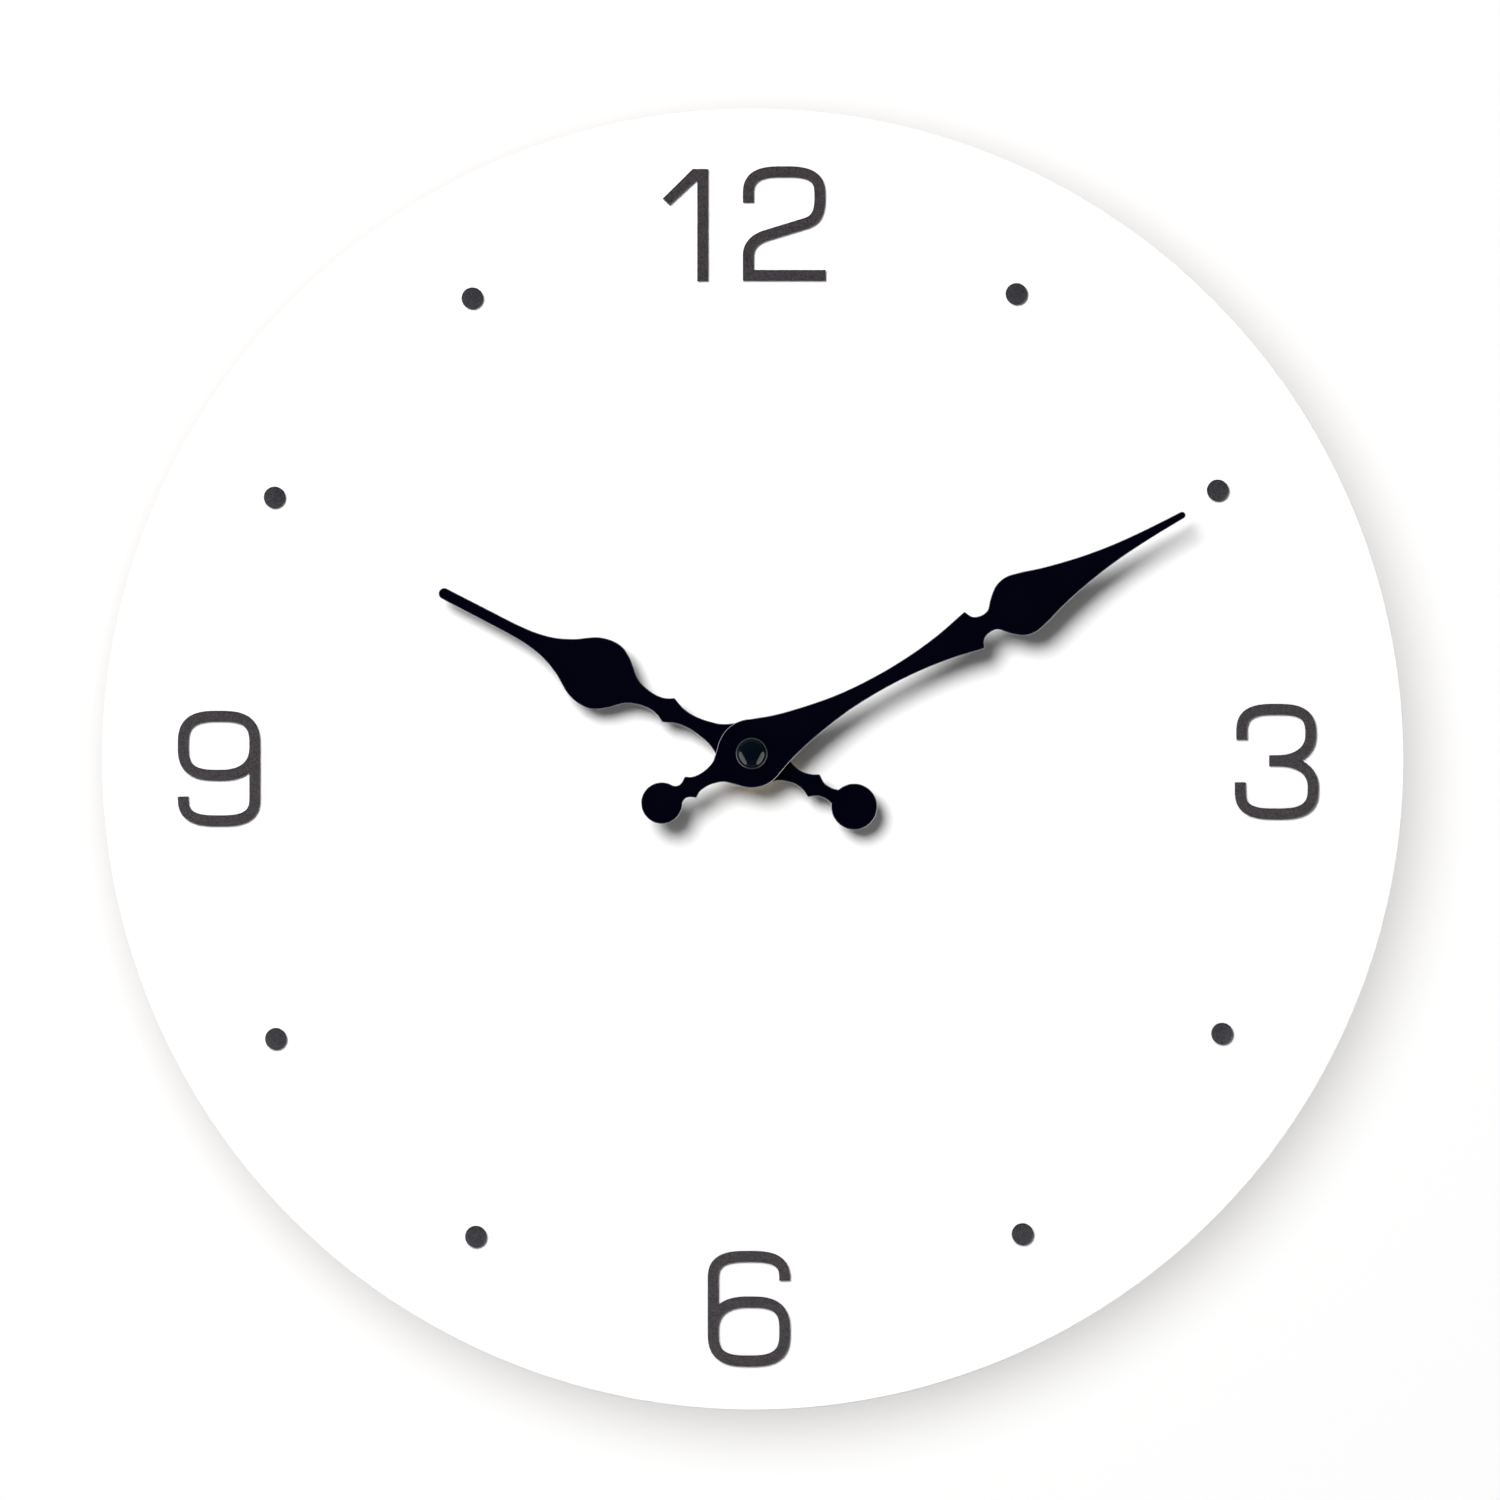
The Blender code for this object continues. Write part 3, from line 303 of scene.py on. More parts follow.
NYLON = Finish("natural_nylon", "bobbin_plastic", (0.76, 0.74, 0.68), 0.45, relief=0.008, variation=0.05)
STEEL = Finish(
    "punched_steel", "spring_steel", (0.6, 0.61, 0.63), 0.32, Grain.BRUSHED,
    size=0.15, relief=0.003, variation=0.1, metallic=1.0,
)
ZINC = Finish(
    "zinc_plate", "bracket_zinc", (0.62, 0.64, 0.64), 0.38, Grain.SPECKLED,
    size=0.9, relief=0.003, variation=0.14, metallic=1.0, second=(0.66, 0.63, 0.52),
)
NICKEL = Finish(
    "nickel_plate", "nickel", (0.7, 0.69, 0.66), 0.24, Grain.BRUSHED,
    size=0.2, relief=0.002, variation=0.06, metallic=1.0,
)
CELL_BLUE = Finish(
    "cell_wrapper_blue", "cell_wrapper", (0.03, 0.09, 0.26), 0.3, Grain.BRUSHED,
    size=0.3, relief=0.003, metallic=0.3, coat=0.4,
)
CELL_WHITE = Finish(
    "cell_wrapper_line", "cell_wrapper", (0.75, 0.75, 0.74), 0.35, Grain.BRUSHED,
    size=0.3, relief=0.002, variation=0.04, coat=0.3,
)
CELL_SILVER = Finish(
    "cell_wrapper_silver", "cell_wrapper", (0.5, 0.51, 0.53), 0.28, Grain.BRUSHED,
    size=0.3, relief=0.003, variation=0.06, metallic=0.8,
)
LAMINATE = Finish(
    "green_solder_mask", "board_laminate", (0.012, 0.15, 0.055), 0.35, Grain.TRACKS,
    size=2.2, relief=0.02, variation=0.35, second=(0.02, 0.19, 0.07),
)
RESIN = Finish(
    "black_chip_resin", "chip_resin", (0.01, 0.01, 0.011), 0.3, size=0.6, relief=0.02, variation=0.3
)
COPPER = Finish(
    "enamelled_copper", "copper_wire", (0.66, 0.26, 0.09), 0.3, Grain.BRUSHED,
    size=0.2, relief=0.002, variation=0.15, metallic=1.0, coat=0.4,
)
FERRITE = Finish(
    "ferrite", "magnet", (0.07, 0.07, 0.075), 0.5, Grain.SPECKLED,
    size=0.2, relief=0.01, variation=0.3, metallic=0.5,
)


# Points and outlines: (x, z) in millimetres, seen from the front


def joint_place(joint: str) -> Point:
    """Where a joint's axis is, seen along it, in millimetres."""
    x, _, z = next(entry["pos_m"] for entry in FRAME["joints"] if entry["name"] == joint)
    return (x / MM, z / MM)


def at(angle: float, radius: float, centre: Point = (0.0, 0.0)) -> Point:
    """The point at an angle in degrees, counted anticlockwise from +X."""
    turn = math.radians(angle)
    return (centre[0] + radius * math.cos(turn), centre[1] + radius * math.sin(turn))


def arc(centre: Point, radius: float, start: float, end: float, steps: int) -> Outline:
    """Points along an arc, both ends included."""
    return [at(start + (end - start) * i / steps, radius, centre) for i in range(steps + 1)]


def circle(radius: float, count: int, centre: Point = (0.0, 0.0)) -> Outline:
    """A closed circle of count points."""
    return [at(360.0 * i / count, radius, centre) for i in range(count)]


def rounded_rectangle(
    left: float, bottom: float, right: float, top: float, radius: float, steps: int = 8
) -> Outline:
    """A rectangle with round corners.

    Args:
        left: Its lowest x.
        bottom: Its lowest z.
        right: Its highest x.
        top: Its highest z.
        radius: The radius of its corners.
        steps: How many straight bits stand for a corner.

    Returns:
        Its closed outline.
    """
    corners = (
        (right - radius, top - radius, 0.0),
        (left + radius, top - radius, 90.0),
        (left + radius, bottom + radius, 180.0),
        (right - radius, bottom + radius, 270.0),
    )
    outline: Outline = []
    for x, z, start in corners:
        outline += arc((x, z), radius, start, start + 90.0, steps)
    return outline


def quarter(
    centre: Point, width: float, height: float, start: float, end: float, steps: int = 20, power: float = 3.0
) -> Outline:
    """Part of a squarish oval.

    Args:
        centre: The oval's middle.
        width: Its half width.
        height: Its half height.
        start: The first angle, in degrees.
        end: The last angle, in degrees.
        steps: How many straight bits stand for it.
        power: How square it is; 2 is a plain ellipse.

    Returns:
        The points along it.
    """
    points = []
    for along, up in arc((0.0, 0.0), 1.0, start, end, steps):
        x = math.copysign(abs(along) ** (2 / power), along)
        z = math.copysign(abs(up) ** (2 / power), up)
        points.append((centre[0] + width * x, centre[1] + height * z))
    return points


def bezier(first: Point, second: Point, third: Point, fourth: Point, steps: int = 16) -> Outline:
    """A cubic curve.

    Args:
        first: Where it starts.
        second: Where it heads for at its start.
        third: Where it comes from at its end.
        fourth: Where it ends.
        steps: How many straight bits stand for it.

    Returns:
        The points along it.
    """
    points = []
    for i in range(steps + 1):
        t = i / steps
        weights = ((1 - t) ** 3, 3 * t * (1 - t) ** 2, 3 * t * t * (1 - t), t**3)
        x = sum(w * p[0] for w, p in zip(weights, (first, second, third, fourth)))
        z = sum(w * p[1] for w, p in zip(weights, (first, second, third, fourth)))
        points.append((x, z))
    return points


def flowing(stations: Sequence[Point], steps: int = 9) -> Outline:
    """A centripetal Catmull-Rom curve through every station.

    Args:
        stations: The points to pass through.
        steps: How many points each span gets.

    Returns:
        The points along the curve.
    """
    first = tuple(2 * a - b for a, b in zip(stations[0], stations[1]))
    last = tuple(2 * a - b for a, b in zip(stations[-1], stations[-2]))
    knots = [first, *stations, last]
    points = [stations[0]]
    for span in zip(knots, knots[1:], knots[2:], knots[3:]):
        times = [0.0]
        for here, there in zip(span, span[1:]):
            times.append(times[-1] + math.dist(here, there) ** 0.5)
        for i in range(1, steps + 1):
            points.append(spline_point(span, times, times[1] + (times[2] - times[1]) * i / steps))
    return points


def spline_point(knots: Sequence[Point], times: Sequence[float], t: float) -> Point:
    """One point of a centripetal Catmull-Rom curve.

    Args:
        knots: The four points round it.
        times: The parameter at each of them.
        t: The parameter wanted.

    Returns:
        The point.
    """

    def between(low: Point, high: Point, start: float, end: float) -> Point:
        """The point as far from low to high as t is from start to end."""
        share = (t - start) / (end - start)
        return (low[0] + (high[0] - low[0]) * share, low[1] + (high[1] - low[1]) * share)

    lower = [between(knots[i], knots[i + 1], times[i], times[i + 1]) for i in range(3)]
    upper = [between(lower[i], lower[i + 1], times[i], times[i + 2]) for i in range(2)]
    return between(upper[0], upper[1], times[1], times[2])


def tidy(points: Outline, closed: bool = False, gap: float = 0.02) -> Outline:
    """Leaves out any point that comes too close after the one before it.

    Args:
        points: The points.
        closed: Whether the last one leads back to the first.
        gap: How close is too close.

    Returns:
        The points that are left.
    """
    kept = [points[0]]
    for point in points[1:]:
        if math.dist(point, kept[-1]) > gap:
            kept.append(point)
    if closed and math.dist(kept[0], kept[-1]) < gap:
        kept.pop()
    return kept


def beside(path: Outline, distance: float, closed: bool = False) -> Outline:
    """Moves a path sideways, mitred at each bend.

    Args:
        path: The path.
        distance: How far to its left it moves, or to its right if below zero.
        closed: Whether its last point leads back to its first.

    Returns:
        The moved path.
    """
    result: Outline = []
    last = len(path) - 1
    for i, point in enumerate(path):
        before = path[i - 1] if i > 0 or closed else point
        after = path[(i + 1) % len(path)] if i < last or closed else point
        sides = []
        for start, end in ((before, point), (point, after)):
            length = math.dist(start, end)
            if length > 0:
                sides.append(((start[1] - end[1]) / length, (end[0] - start[0]) / length))
        across = (sides[0][0] + sides[-1][0], sides[0][1] + sides[-1][1])
        size = math.hypot(*across)
        along = (across[0] * sides[0][0] + across[1] * sides[0][1]) / size
        reach = distance / (size * along)
        result.append((point[0] + across[0] * reach, point[1] + across[1] * reach))
    return result


def stroke(path: Outline, width: float) -> Outline:
    """The outline of a line of constant width with flat ends."""
    path = tidy(path)
    return beside(path, width / 2) + beside(path, -width / 2)[::-1]


def offsets(loop: Outline, distance: float) -> list[Outline]:
    """A closed loop moved inwards and outwards by a distance, the smaller one first."""
    return sorted((beside(loop, side * distance, closed=True) for side in (1, -1)), key=width_of)


def width_of(points: Outline) -> float:
    """How far the outline reaches across."""
    return max(x for x, _ in points) - min(x for x, _ in points)


def shifted(points: Outline, centre: Point) -> Outline:
    """An outline moved so that its own middle is on a centre."""
    return [(x + centre[0], z + centre[1]) for x, z in points]


def swung(points: Outline, clockwise: float) -> Outline:
    """An outline turned clockwise about the arbor, in degrees."""
    c, s = math.cos(math.radians(clockwise)), math.sin(math.radians(clockwise))
    return [(x * c + z * s, z * c - x * s) for x, z in points]


def filled(loops: Sequence[Outline]) -> list[tuple[int, ...]]:
    """Triangles that fill the first loop and leave the other loops open."""
    return [tuple(c) for c in tessellate_polygon([[Vector((x, z, 0.0)) for x, z in loop] for loop in loops])]


def ring_profile(bore: float, outside: float, layer: Layer, edge: float) -> Outline:
    """A flat ring whose outer edges are cut to a slope.

    Args:
        bore: The radius of its hole.
        outside: Its outer radius.
        layer: The depths of its back and its front.
        edge: The size of the slope.

    Returns:
        Its profile, as (radius, y).
    """
    back, front = layer.value
    corners = [(bore, back), (outside - edge, back), (outside, back - edge)]
    return corners + [(outside, front + edge), (outside - edge, front), (bore, front)]


@dataclass
class Solid:
    """A closed shape in millimetres, with a finish number for each face."""

    vertices: list[Place] = field(default_factory=list)
    faces: list[tuple[int, ...]] = field(default_factory=list)
    numbers: list[int] = field(default_factory=list)

    def plate(self, outline: Outline, back: float, front: float, holes: Iterable[Outline] = ()) -> "Solid":
        """Adds a flat plate.

        Args:
            outline: Its edge.
            back: The depth of its back.
            front: The depth of its front.
            holes: The edges of the holes through it.

        Returns:
            This solid.
        """
        loops = [outline, *holes]
        flat = [point for loop in loops for point in loop]
        base, count = len(self.vertices), len(flat)
        self.vertices += [(x, back, z) for x, z in flat] + [(x, front, z) for x, z in flat]
        for cap in [tuple(range(count))] if len(loops) == 1 else filled(loops):
            self.face([base + i for i in cap], 0)
            self.face([base + count + i for i in reversed(cap)], 0)
        self.walls(loops, base, 1, 0)
        return self

    def sloped(
        self, outline: Outline, layer: Layer, slope: Point, holes: Sequence[Outline] = (),
        numbers: tuple[int, int, int] = (0, 1, 0),
    ) -> "Solid":
        """Adds a flat plate whose front edges are cut back to a slope.

        Args:
            outline: Its edge.
            layer: The depths of its back and its front.
            slope: How far the slope reaches inwards, and how deep it is.
            holes: The edges of the holes through it.
            numbers: The finish numbers of its back, of its walls and slopes, and of its front.

        Returns:
            This solid.
        """
        back, front = layer.value
        loops = [outline, *holes]
        inner = [offsets(loop, slope[0])[0 if i == 0 else 1] for i, loop in enumerate(loops)]
        base, count = len(self.vertices), sum(len(loop) for loop in loops)
        for shape, y in ((loops, back), (loops, front + slope[1]), (inner, front)):
            self.vertices += [(x, y, z) for loop in shape for x, z in loop]
        for shape, first, number in ((loops, base, numbers[0]), (inner, base + 2 * count, numbers[2])):
            for cap in filled(shape):
                self.face([first + k for k in cap], number)
        self.walls(loops, base, 2, numbers[1])
        return self

    def walls(self, loops: Sequence[Outline], base: int, bands: int, number: int) -> None:
        """Adds the faces between copies of the same loops, which follow one another in the vertices.

        Args:
            loops: The loops.
            base: The number of the first copy's first vertex.
            bands: How many bands of faces there are.
            number: The finish number of the faces.
        """
        count = sum(len(loop) for loop in loops)
        for loop in loops:
            for i in range(len(loop)):
                for band in range(bands):
                    start = base + band * count
                    here, there = start + i, start + (i + 1) % len(loop)
                    self.face([here, there, there + count, here + count], number)
            base += len(loop)

    def turned(
        self, profile: Sequence[Point], steps: int, centre: Point = (0.0, 0.0), numbers: Sequence[int] = ()
    ) -> "Solid":
        """Adds a shape turned about a line along Y.

        Args:
            profile: A closed loop of (radius, y).
            steps: How many sides it has.
            centre: Where the line is.
            numbers: The finish number of each band, after its profile point.

        Returns:
            This solid.
        """
        rings: list[list[int]] = []
        for radius, y in profile:
            base = len(self.vertices)
            if radius == 0:
                self.vertices.append((centre[0], y, centre[1]))
                rings.append([base])
                continue
            self.vertices += [(x, y, z) for x, z in circle(radius, steps, centre)]
            rings.append(list(range(base, base + steps)))
        for i, ring in enumerate(rings):
            following = rings[(i + 1) % len(rings)]
            for k in range(steps):
                corners = [ring[k % len(ring)], ring[(k + 1) % len(ring)]]
                corners += [following[(k + 1) % len(following)], following[k % len(following)]]
                self.face(list(dict.fromkeys(corners)), numbers[i] if i < len(numbers) else 0)
        return self

    def face(self, corners: Sequence[int], number: int) -> None:
        """Adds one face, unless it has fewer than three corners.

        Args:
            corners: The numbers of its vertices.
            number: Its finish number.
        """
        if len(corners) > 2:
            self.faces.append(tuple(corners))
            self.numbers.append(number)

    def along_x(self) -> "Solid":
        """Turns the whole solid so that its -Y end points to +X."""
        self.vertices = [(-y, x, z) for x, y, z in self.vertices]
        return self

    def upright(self) -> "Solid":
        """Turns the whole solid so that its +Y end points up."""
        self.vertices = [(x, z, y) for x, y, z in self.vertices]
        return self

    def moved(self, x: float, y: float, z: float) -> "Solid":
        """Moves the whole solid."""
        self.vertices = [(a + x, b + y, c + z) for a, b, c in self.vertices]
        return self


@dataclass
class Workshop:
    """Turns solids and geometry trees into finished pieces that ride on the clock's bodies."""

    made: list[Piece] = field(default_factory=list)
    bevel_from: float = math.radians(50)
    smooth_below: float = math.radians(32)

    def make(
        self, name: str, solid: Solid, finishes: Sequence[Finish], body: str, nodes: Sequence[str],
        edge: float = 0.0, segments: int = 2, joined: Sequence[Solid] = (),
    ) -> Piece:
        """Makes one piece from a solid.

        Args:
            name: The piece's name.
            solid: Its shape in millimetres.
            finishes: Its finishes, by number.
            body: The body it rides on.
            nodes: The nodes it stands for.
            edge: How far its sharp edges are rounded, in millimetres.
            segments: How many bands a rounded edge has.
            joined: More solids to make one with it.

        Returns:
            The piece.
        """
        piece = self.raw(name, solid, finishes)
        for extra in joined:
            helper = self.raw(f"{name}_helper", extra, finishes)
            union = piece.modifiers.new("join", "BOOLEAN")
            union.operation = "UNION"
            union.solver = "EXACT"
            union.object = helper
            self.settle(piece)
            spent = helper.data
            bpy.data.objects.remove(helper)
            bpy.data.meshes.remove(spent)
        if edge > 0:
            bevel = piece.modifiers.new("edges", "BEVEL")
            bevel.width = edge * MM
            bevel.segments = segments
            bevel.limit_method = "ANGLE"
            bevel.angle_limit = self.bevel_from
            self.settle(piece)
        return self.finish(piece, finishes[0], body, nodes)

    def raw(self, name: str, solid: Solid, finishes: Sequence[Finish]) -> Piece:
        """Makes a plain object from a solid, with its faces turned outwards.

        Args:
            name: The object's name.
            solid: Its shape in millimetres.
            finishes: Its finishes, by number.

        Returns:
            The object.
        """
        mesh = bpy.data.meshes.new(name)
        mesh.from_pydata([Vector(v) * MM for v in solid.vertices], [], solid.faces)
        mesh.polygons.foreach_set("material_index", solid.numbers)
        shape = bmesh.new()
        shape.from_mesh(mesh)
        bmesh.ops.recalc_face_normals(shape, faces=shape.faces)
        shape.to_mesh(mesh)
        shape.free()
        piece = bpy.data.objects.new(name, mesh)
        bpy.context.scene.collection.objects.link(piece)
        for finish in finishes:
            mesh.materials.append(finish.material())
        return piece

    def grow(
        self, name: str, tree: bpy.types.NodeTree, sizes: dict[str, Any], finish: Finish, body: str,
        nodes: Sequence[str], points: Sequence[Place] = (),
    ) -> Piece:
        """Makes one piece from a geometry tree.

        Args:
            name: The piece's name.
            tree: The geometry tree.
            sizes: Values for its named inputs.
            finish: The piece's finish.
            body: The body it rides on.
            nodes: The nodes it stands for.
            points: The points that the tree reads, in metres.

        Returns:
            The piece, as a plain mesh.
        """
        mesh = bpy.data.meshes.new(name)
        mesh.from_pydata(points, [], [])
        piece = bpy.data.objects.new(name, mesh)
        bpy.context.scene.collection.objects.link(piece)
        modifier = piece.modifiers.new("shape", "NODES")
        modifier.node_group = tree
        sockets = {s.name: s.identifier for s in tree.interface.items_tree if s.in_out == "INPUT"}
        for title, value in sizes.items():
            modifier[sockets[title]] = value
        self.settle(piece)
        return self.finish(piece, finish, body, nodes)

    def settle(self, piece: Piece) -> None:
        """Applies a piece's modifiers to its mesh.

        Args:
            piece: The piece.
        """
        graph = bpy.context.evaluated_depsgraph_get()
        settled = bpy.data.meshes.new_from_object(piece.evaluated_get(graph))
        piece.modifiers.clear()
        old = piece.data
        piece.data = settled
        bpy.data.meshes.remove(old)

    def finish(self, piece: Piece, finish: Finish, body: str, nodes: Sequence[str]) -> Piece:
        """Smooths a piece and ties it to the frame.

        Args:
            piece: The piece.
            finish: Its main finish; not used.
            body: The body it rides on.
            nodes: The nodes it stands for.

        Returns:
            The same piece.
        """
        piece.data.polygons.foreach_set("use_smooth", [True] * len(piece.data.polygons))
        piece.data.set_sharp_from_angle(angle=self.smooth_below)
        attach(piece, body)
        if nodes:
            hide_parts(*nodes)
        self.made.append(piece)
        LOG.info("%s: %d faces, rides on %s", piece.name, len(piece.data.polygons), body)
        return piece

    def dress(self, node: str, finish: Finish) -> None:
        """Gives a node of the frame its finish.

        Args:
            node: The node's name.
            finish: The finish.
        """
        materials = FRAME["nodes"][node].data.materials
        materials.clear()
        materials.append(finish.material())
        LOG.info("%s: dressed in %s", node, finish.title)


class Tree:
    """One geometry tree with named inputs, which ends in Realize Instances and Set Material."""

    kinds: dict[type, str] = {int: "NodeSocketInt", float: "NodeSocketFloat", tuple: "NodeSocketVector"}
    front_below: float = -0.95

    def __init__(self, name: str, inputs: dict[str, Any], on_points: bool = False) -> None:
        """Makes the tree and its inputs.

        Args:
            name: The tree's name.
            inputs: The usual value of each input: a whole number, a number, or a place.
            on_points: Whether it reads its own object's points as "Geometry".
        """
        self.group = bpy.data.node_groups.new(name, "GeometryNodeTree")
        interface = self.group.interface
        if on_points:
            interface.new_socket(name="Geometry", in_out="INPUT", socket_type="NodeSocketGeometry")
        for title, value in inputs.items():
            socket = interface.new_socket(name=title, in_out="INPUT", socket_type=self.kinds[type(value)])
            socket.default_value = value
        interface.new_socket(name="Geometry", in_out="OUTPUT", socket_type="NodeSocketGeometry")
        self.sheet = NodeSheet(self.group)
        self.given = self.sheet.add("NodeGroupInput").outputs

    def add(self, kind: str, inputs: dict[Any, Any] | None = None, **settings: Any) -> Any:
        """Adds a geometry node and returns its outputs."""
        return self.sheet.add("GeometryNode" + kind, inputs, **settings).outputs

    def vector(self, x: Any = 0.0, y: Any = 0.0, z: Any = 0.0) -> Socket:
        """Adds a Combine XYZ node and returns its result."""
        return self.sheet.add("ShaderNodeCombineXYZ", {0: x, 1: y, 2: z}).outputs[0]

    def rotated(self, geometry: Socket, turn: Place, to: Any = (0.0, 0.0, 0.0)) -> Socket:
        """Adds a node that turns geometry by angles in radians, then moves it, and returns its result."""
        return self.add("Transform", {"Geometry": geometry, "Translation": to, "Rotation": turn})[0]

    def row(self, count: Socket, start: Socket, step: Socket) -> Socket:
        """Adds a line of points and returns it."""
        ends = {"Count": count, "Start Location": start, "Offset": step}
        return self.add("MeshLine", ends, mode="OFFSET")[0]

    def repeated(self, points: Socket, shape: Socket) -> Socket:
        """Adds a node that puts a shape on every point and returns its result."""
        return self.add("InstanceOnPoints", {"Points": points, "Instance": shape})[0]

    def rib(self, vertices: int) -> Socket:
        """Adds a round rod of the inputs' rib radius and rib length and returns it."""
        sizes = {"Radius": self.given["Rib radius"], "Depth": self.given["Rib length"]}
        return self.add("MeshCylinder", {"Vertices": vertices, **sizes})[0]

    def close(self, geometry: Socket, finish: Finish, side: Finish | None = None) -> bpy.types.NodeTree:
        """Ends the tree.

        Args:
            geometry: What it makes.
            finish: The finish of all of it.
            side: The finish of the faces that don't face the front, if it is another; the dots use a darker
                one as painted shade on their edges.

        Returns:
            The finished tree.
        """
        realised = self.add("RealizeInstances", {0: geometry})[0]
        painted = self.add("SetMaterial", {"Geometry": realised, "Material": finish.material()})[0]
        if side is not None:
            # Faces that don't face the front get the side finish: for the dots, painted shade along their
            # edges.
            depth = self.sheet.add("ShaderNodeSeparateXYZ", {0: self.add("InputNormal")[0]}).outputs[1]
            painted_shade_faces = self.sheet.maths("GREATER_THAN", depth, self.front_below)
            inputs = {"Geometry": painted, "Selection": painted_shade_faces, "Material": side.material()}
            painted = self.add("SetMaterial", inputs)[0]
        output = self.sheet.add("NodeGroupOutput")
        self.sheet.feed(output.inputs[0], painted)
        return self.group


@dataclass
class Dial:
    """The board, the white face on it, and the markers. An edge is (how far in, how deep) its slope goes."""

    radius: float = 150.0
    centre: Point = (0.35, -1.4)
    hole: float = 4.2
    board_edge: Point = (0.2, 0.2)
    face_edge: Point = (0.12, 0.12)
    marker_edge: Point = (0.16, 0.14)
    ring_centre: Point = (-1.15, -2.7)
    dot_radius: float = 2.5
    dot_edge: float = 0.3
    line: float = 2.45
    half_width: float = 8.25
    half_height: float = 12.05
    hook: float = 5.55

    def build(self, shop: Workshop) -> None:
        """Makes every piece of the dial.

        Args:
            shop: Where the pieces are made.
        """
        self.build_board(shop)
        self.build_numerals(shop)
        self.build_dots(shop)

    def build_board(self, shop: Workshop) -> None:
        """Makes the board with its painted rim and bare back, and the face.

        Args:
            shop: Where the pieces are made.
        """
        edge, bore = circle(self.radius, 288, self.centre), circle(self.hole, 48)
        board = Solid().sloped(edge, Layer.BOARD, self.board_edge, [bore], (1, 0, 0))
        shop.make("dial_board_painted", board, (WHITE_PAINT, FIBREBOARD), "clock", ["dial_board"])
        face = Solid().sloped(edge, Layer.FACE, self.face_edge, [bore], (0, 0, 0))
        shop.make("dial_face", face, (WHITE_FACE,), "clock", ["dial_face_sheet"])

    def build_numerals(self, shop: Workshop) -> None:
        """Makes the numerals 12, 3, 6 and 9, each joined from parts that list an edge and its holes.

        Args:
            shop: Where the pieces are made.
        """
        right, up = self.ring_centre
        nine = self.nine()
        six = [[[(-x, -z) for x, z in loop] for loop in part] for part in nine]
        numerals = (
            ("numeral_12_one", (right - 10.15, up + 124.5), [[self.one()]]),
            ("numeral_12_two", (right + 8.6, up + 124.85), [[stroke(self.two(), self.line)]]),
            ("numeral_3", (right + 122.05, up + 0.85), [[stroke(bowl, self.line)] for bowl in self.three()]),
            ("numeral_6", (right + 0.5, up - 125.25), six),
            ("numeral_9", (right - 121.65, up - 0.75), nine),
        )
        for node, place, parts in numerals:
            solids = []
            for part in parts:
                outline, *holes = (shifted(loop, place) for loop in part)
                solids.append(Solid().sloped(outline, Layer.MARKERS, self.marker_edge, holes))
            # The numerals' slopes and walls get the darker finish: painted shade along their edges.
            finishes = (CHARCOAL, CHARCOAL_PAINTED_SHADE)
            shop.make(f"{node}_raised", solids[0], finishes, "clock", [node], joined=solids[1:])

    def one(self) -> Outline:
        """A one with a straight flag, drawn about the middle of its stem.

        Returns:
            Its outline.
        """
        half, top = self.line / 2, 12.9
        outline = [(-half, top), (half, top), (half, -top), (-half, -top), (-half, top - 2.4)]
        return outline + [(-7.65, top - 8.35), (-9.2, top - 6.85), (-2.25, top)]

    def two(self) -> Outline:
        """A two.

        Returns:
            The middle of its line.
        """
        top, side = self.half_height - 0.1, self.half_width
        path = [(-side, 4.85)]
        path += quarter((0.0, top - self.hook), side, self.hook, 180, 90)
        path += quarter((0.0, top - self.hook), side, self.hook, 90, 0)
        path += bezier((side, 6.2), (side, 2.4), (7.4, 0.8), (5.0, 0.05))
        path += bezier((-4.2, -2.75), (-6.9, -3.6), (-side, -5.2), (-side, -7.4))
        return path + [(-side, -top), (9.55, -top)]

    def three(self) -> tuple[Outline, Outline]:
        """A three, whose two bowls overlap in its bar.

        Returns:
            The middle of the upper bowl's line, and of the lower bowl's.
        """
        bar, top, round_bend = 0.2, self.half_height, 2.25
        upper_side, lower_side = 7.95, 8.5
        upper_half, lower_half = (top - bar) / 2, (top + bar) / 2
        upper_middle, lower_middle = (0.0, bar + upper_half), (0.0, bar - lower_half)
        upper = [(-upper_side, 5.05)]
        upper += quarter((0.0, top - self.hook), upper_side, self.hook, 180, 90)
        upper += quarter(upper_middle, upper_side, upper_half, 90, 0)
        upper += quarter(upper_middle, upper_side, upper_half, 0, -90, power=round_bend)
        upper += [(-1.6, bar)]
        lower = [(-1.0, bar)]
        lower += quarter(lower_middle, lower_side, lower_half, 90, 0, power=round_bend)
        lower += quarter(lower_middle, lower_side, lower_half, 0, -90)
        lower += quarter((0.0, self.hook - top), lower_side - 0.2, self.hook, -90, -180)
        return upper, lower + [(0.2 - lower_side, -4.8)]

    def nine(self) -> list[list[Outline]]:
        """A nine drawn about its middle.

        Returns:
            The bowl's outer and inner edges, and the outline of the stem with its hook.
        """
        bowl_bottom, half = -1.55, self.line / 2
        bowl_half = (self.half_height - bowl_bottom) / 2
        middle = (0.0, bowl_bottom + bowl_half)
        bowl = quarter(middle, self.half_width, bowl_half, 0, 270, steps=72)
        bowl += quarter(middle, self.half_width, bowl_half, 270, 360, steps=24, power=2.5)
        bowl = tidy(bowl, closed=True)
        stem = [(self.half_width, middle[1])]
        hook_middle = (0.0, self.hook - self.half_height)
        stem += quarter(hook_middle, self.half_width, self.hook, 0, -180, steps=44)
        edges = [beside(bowl, -half, closed=True), beside(bowl, half, closed=True)]
        return [edges, [stroke(stem, self.line)]]

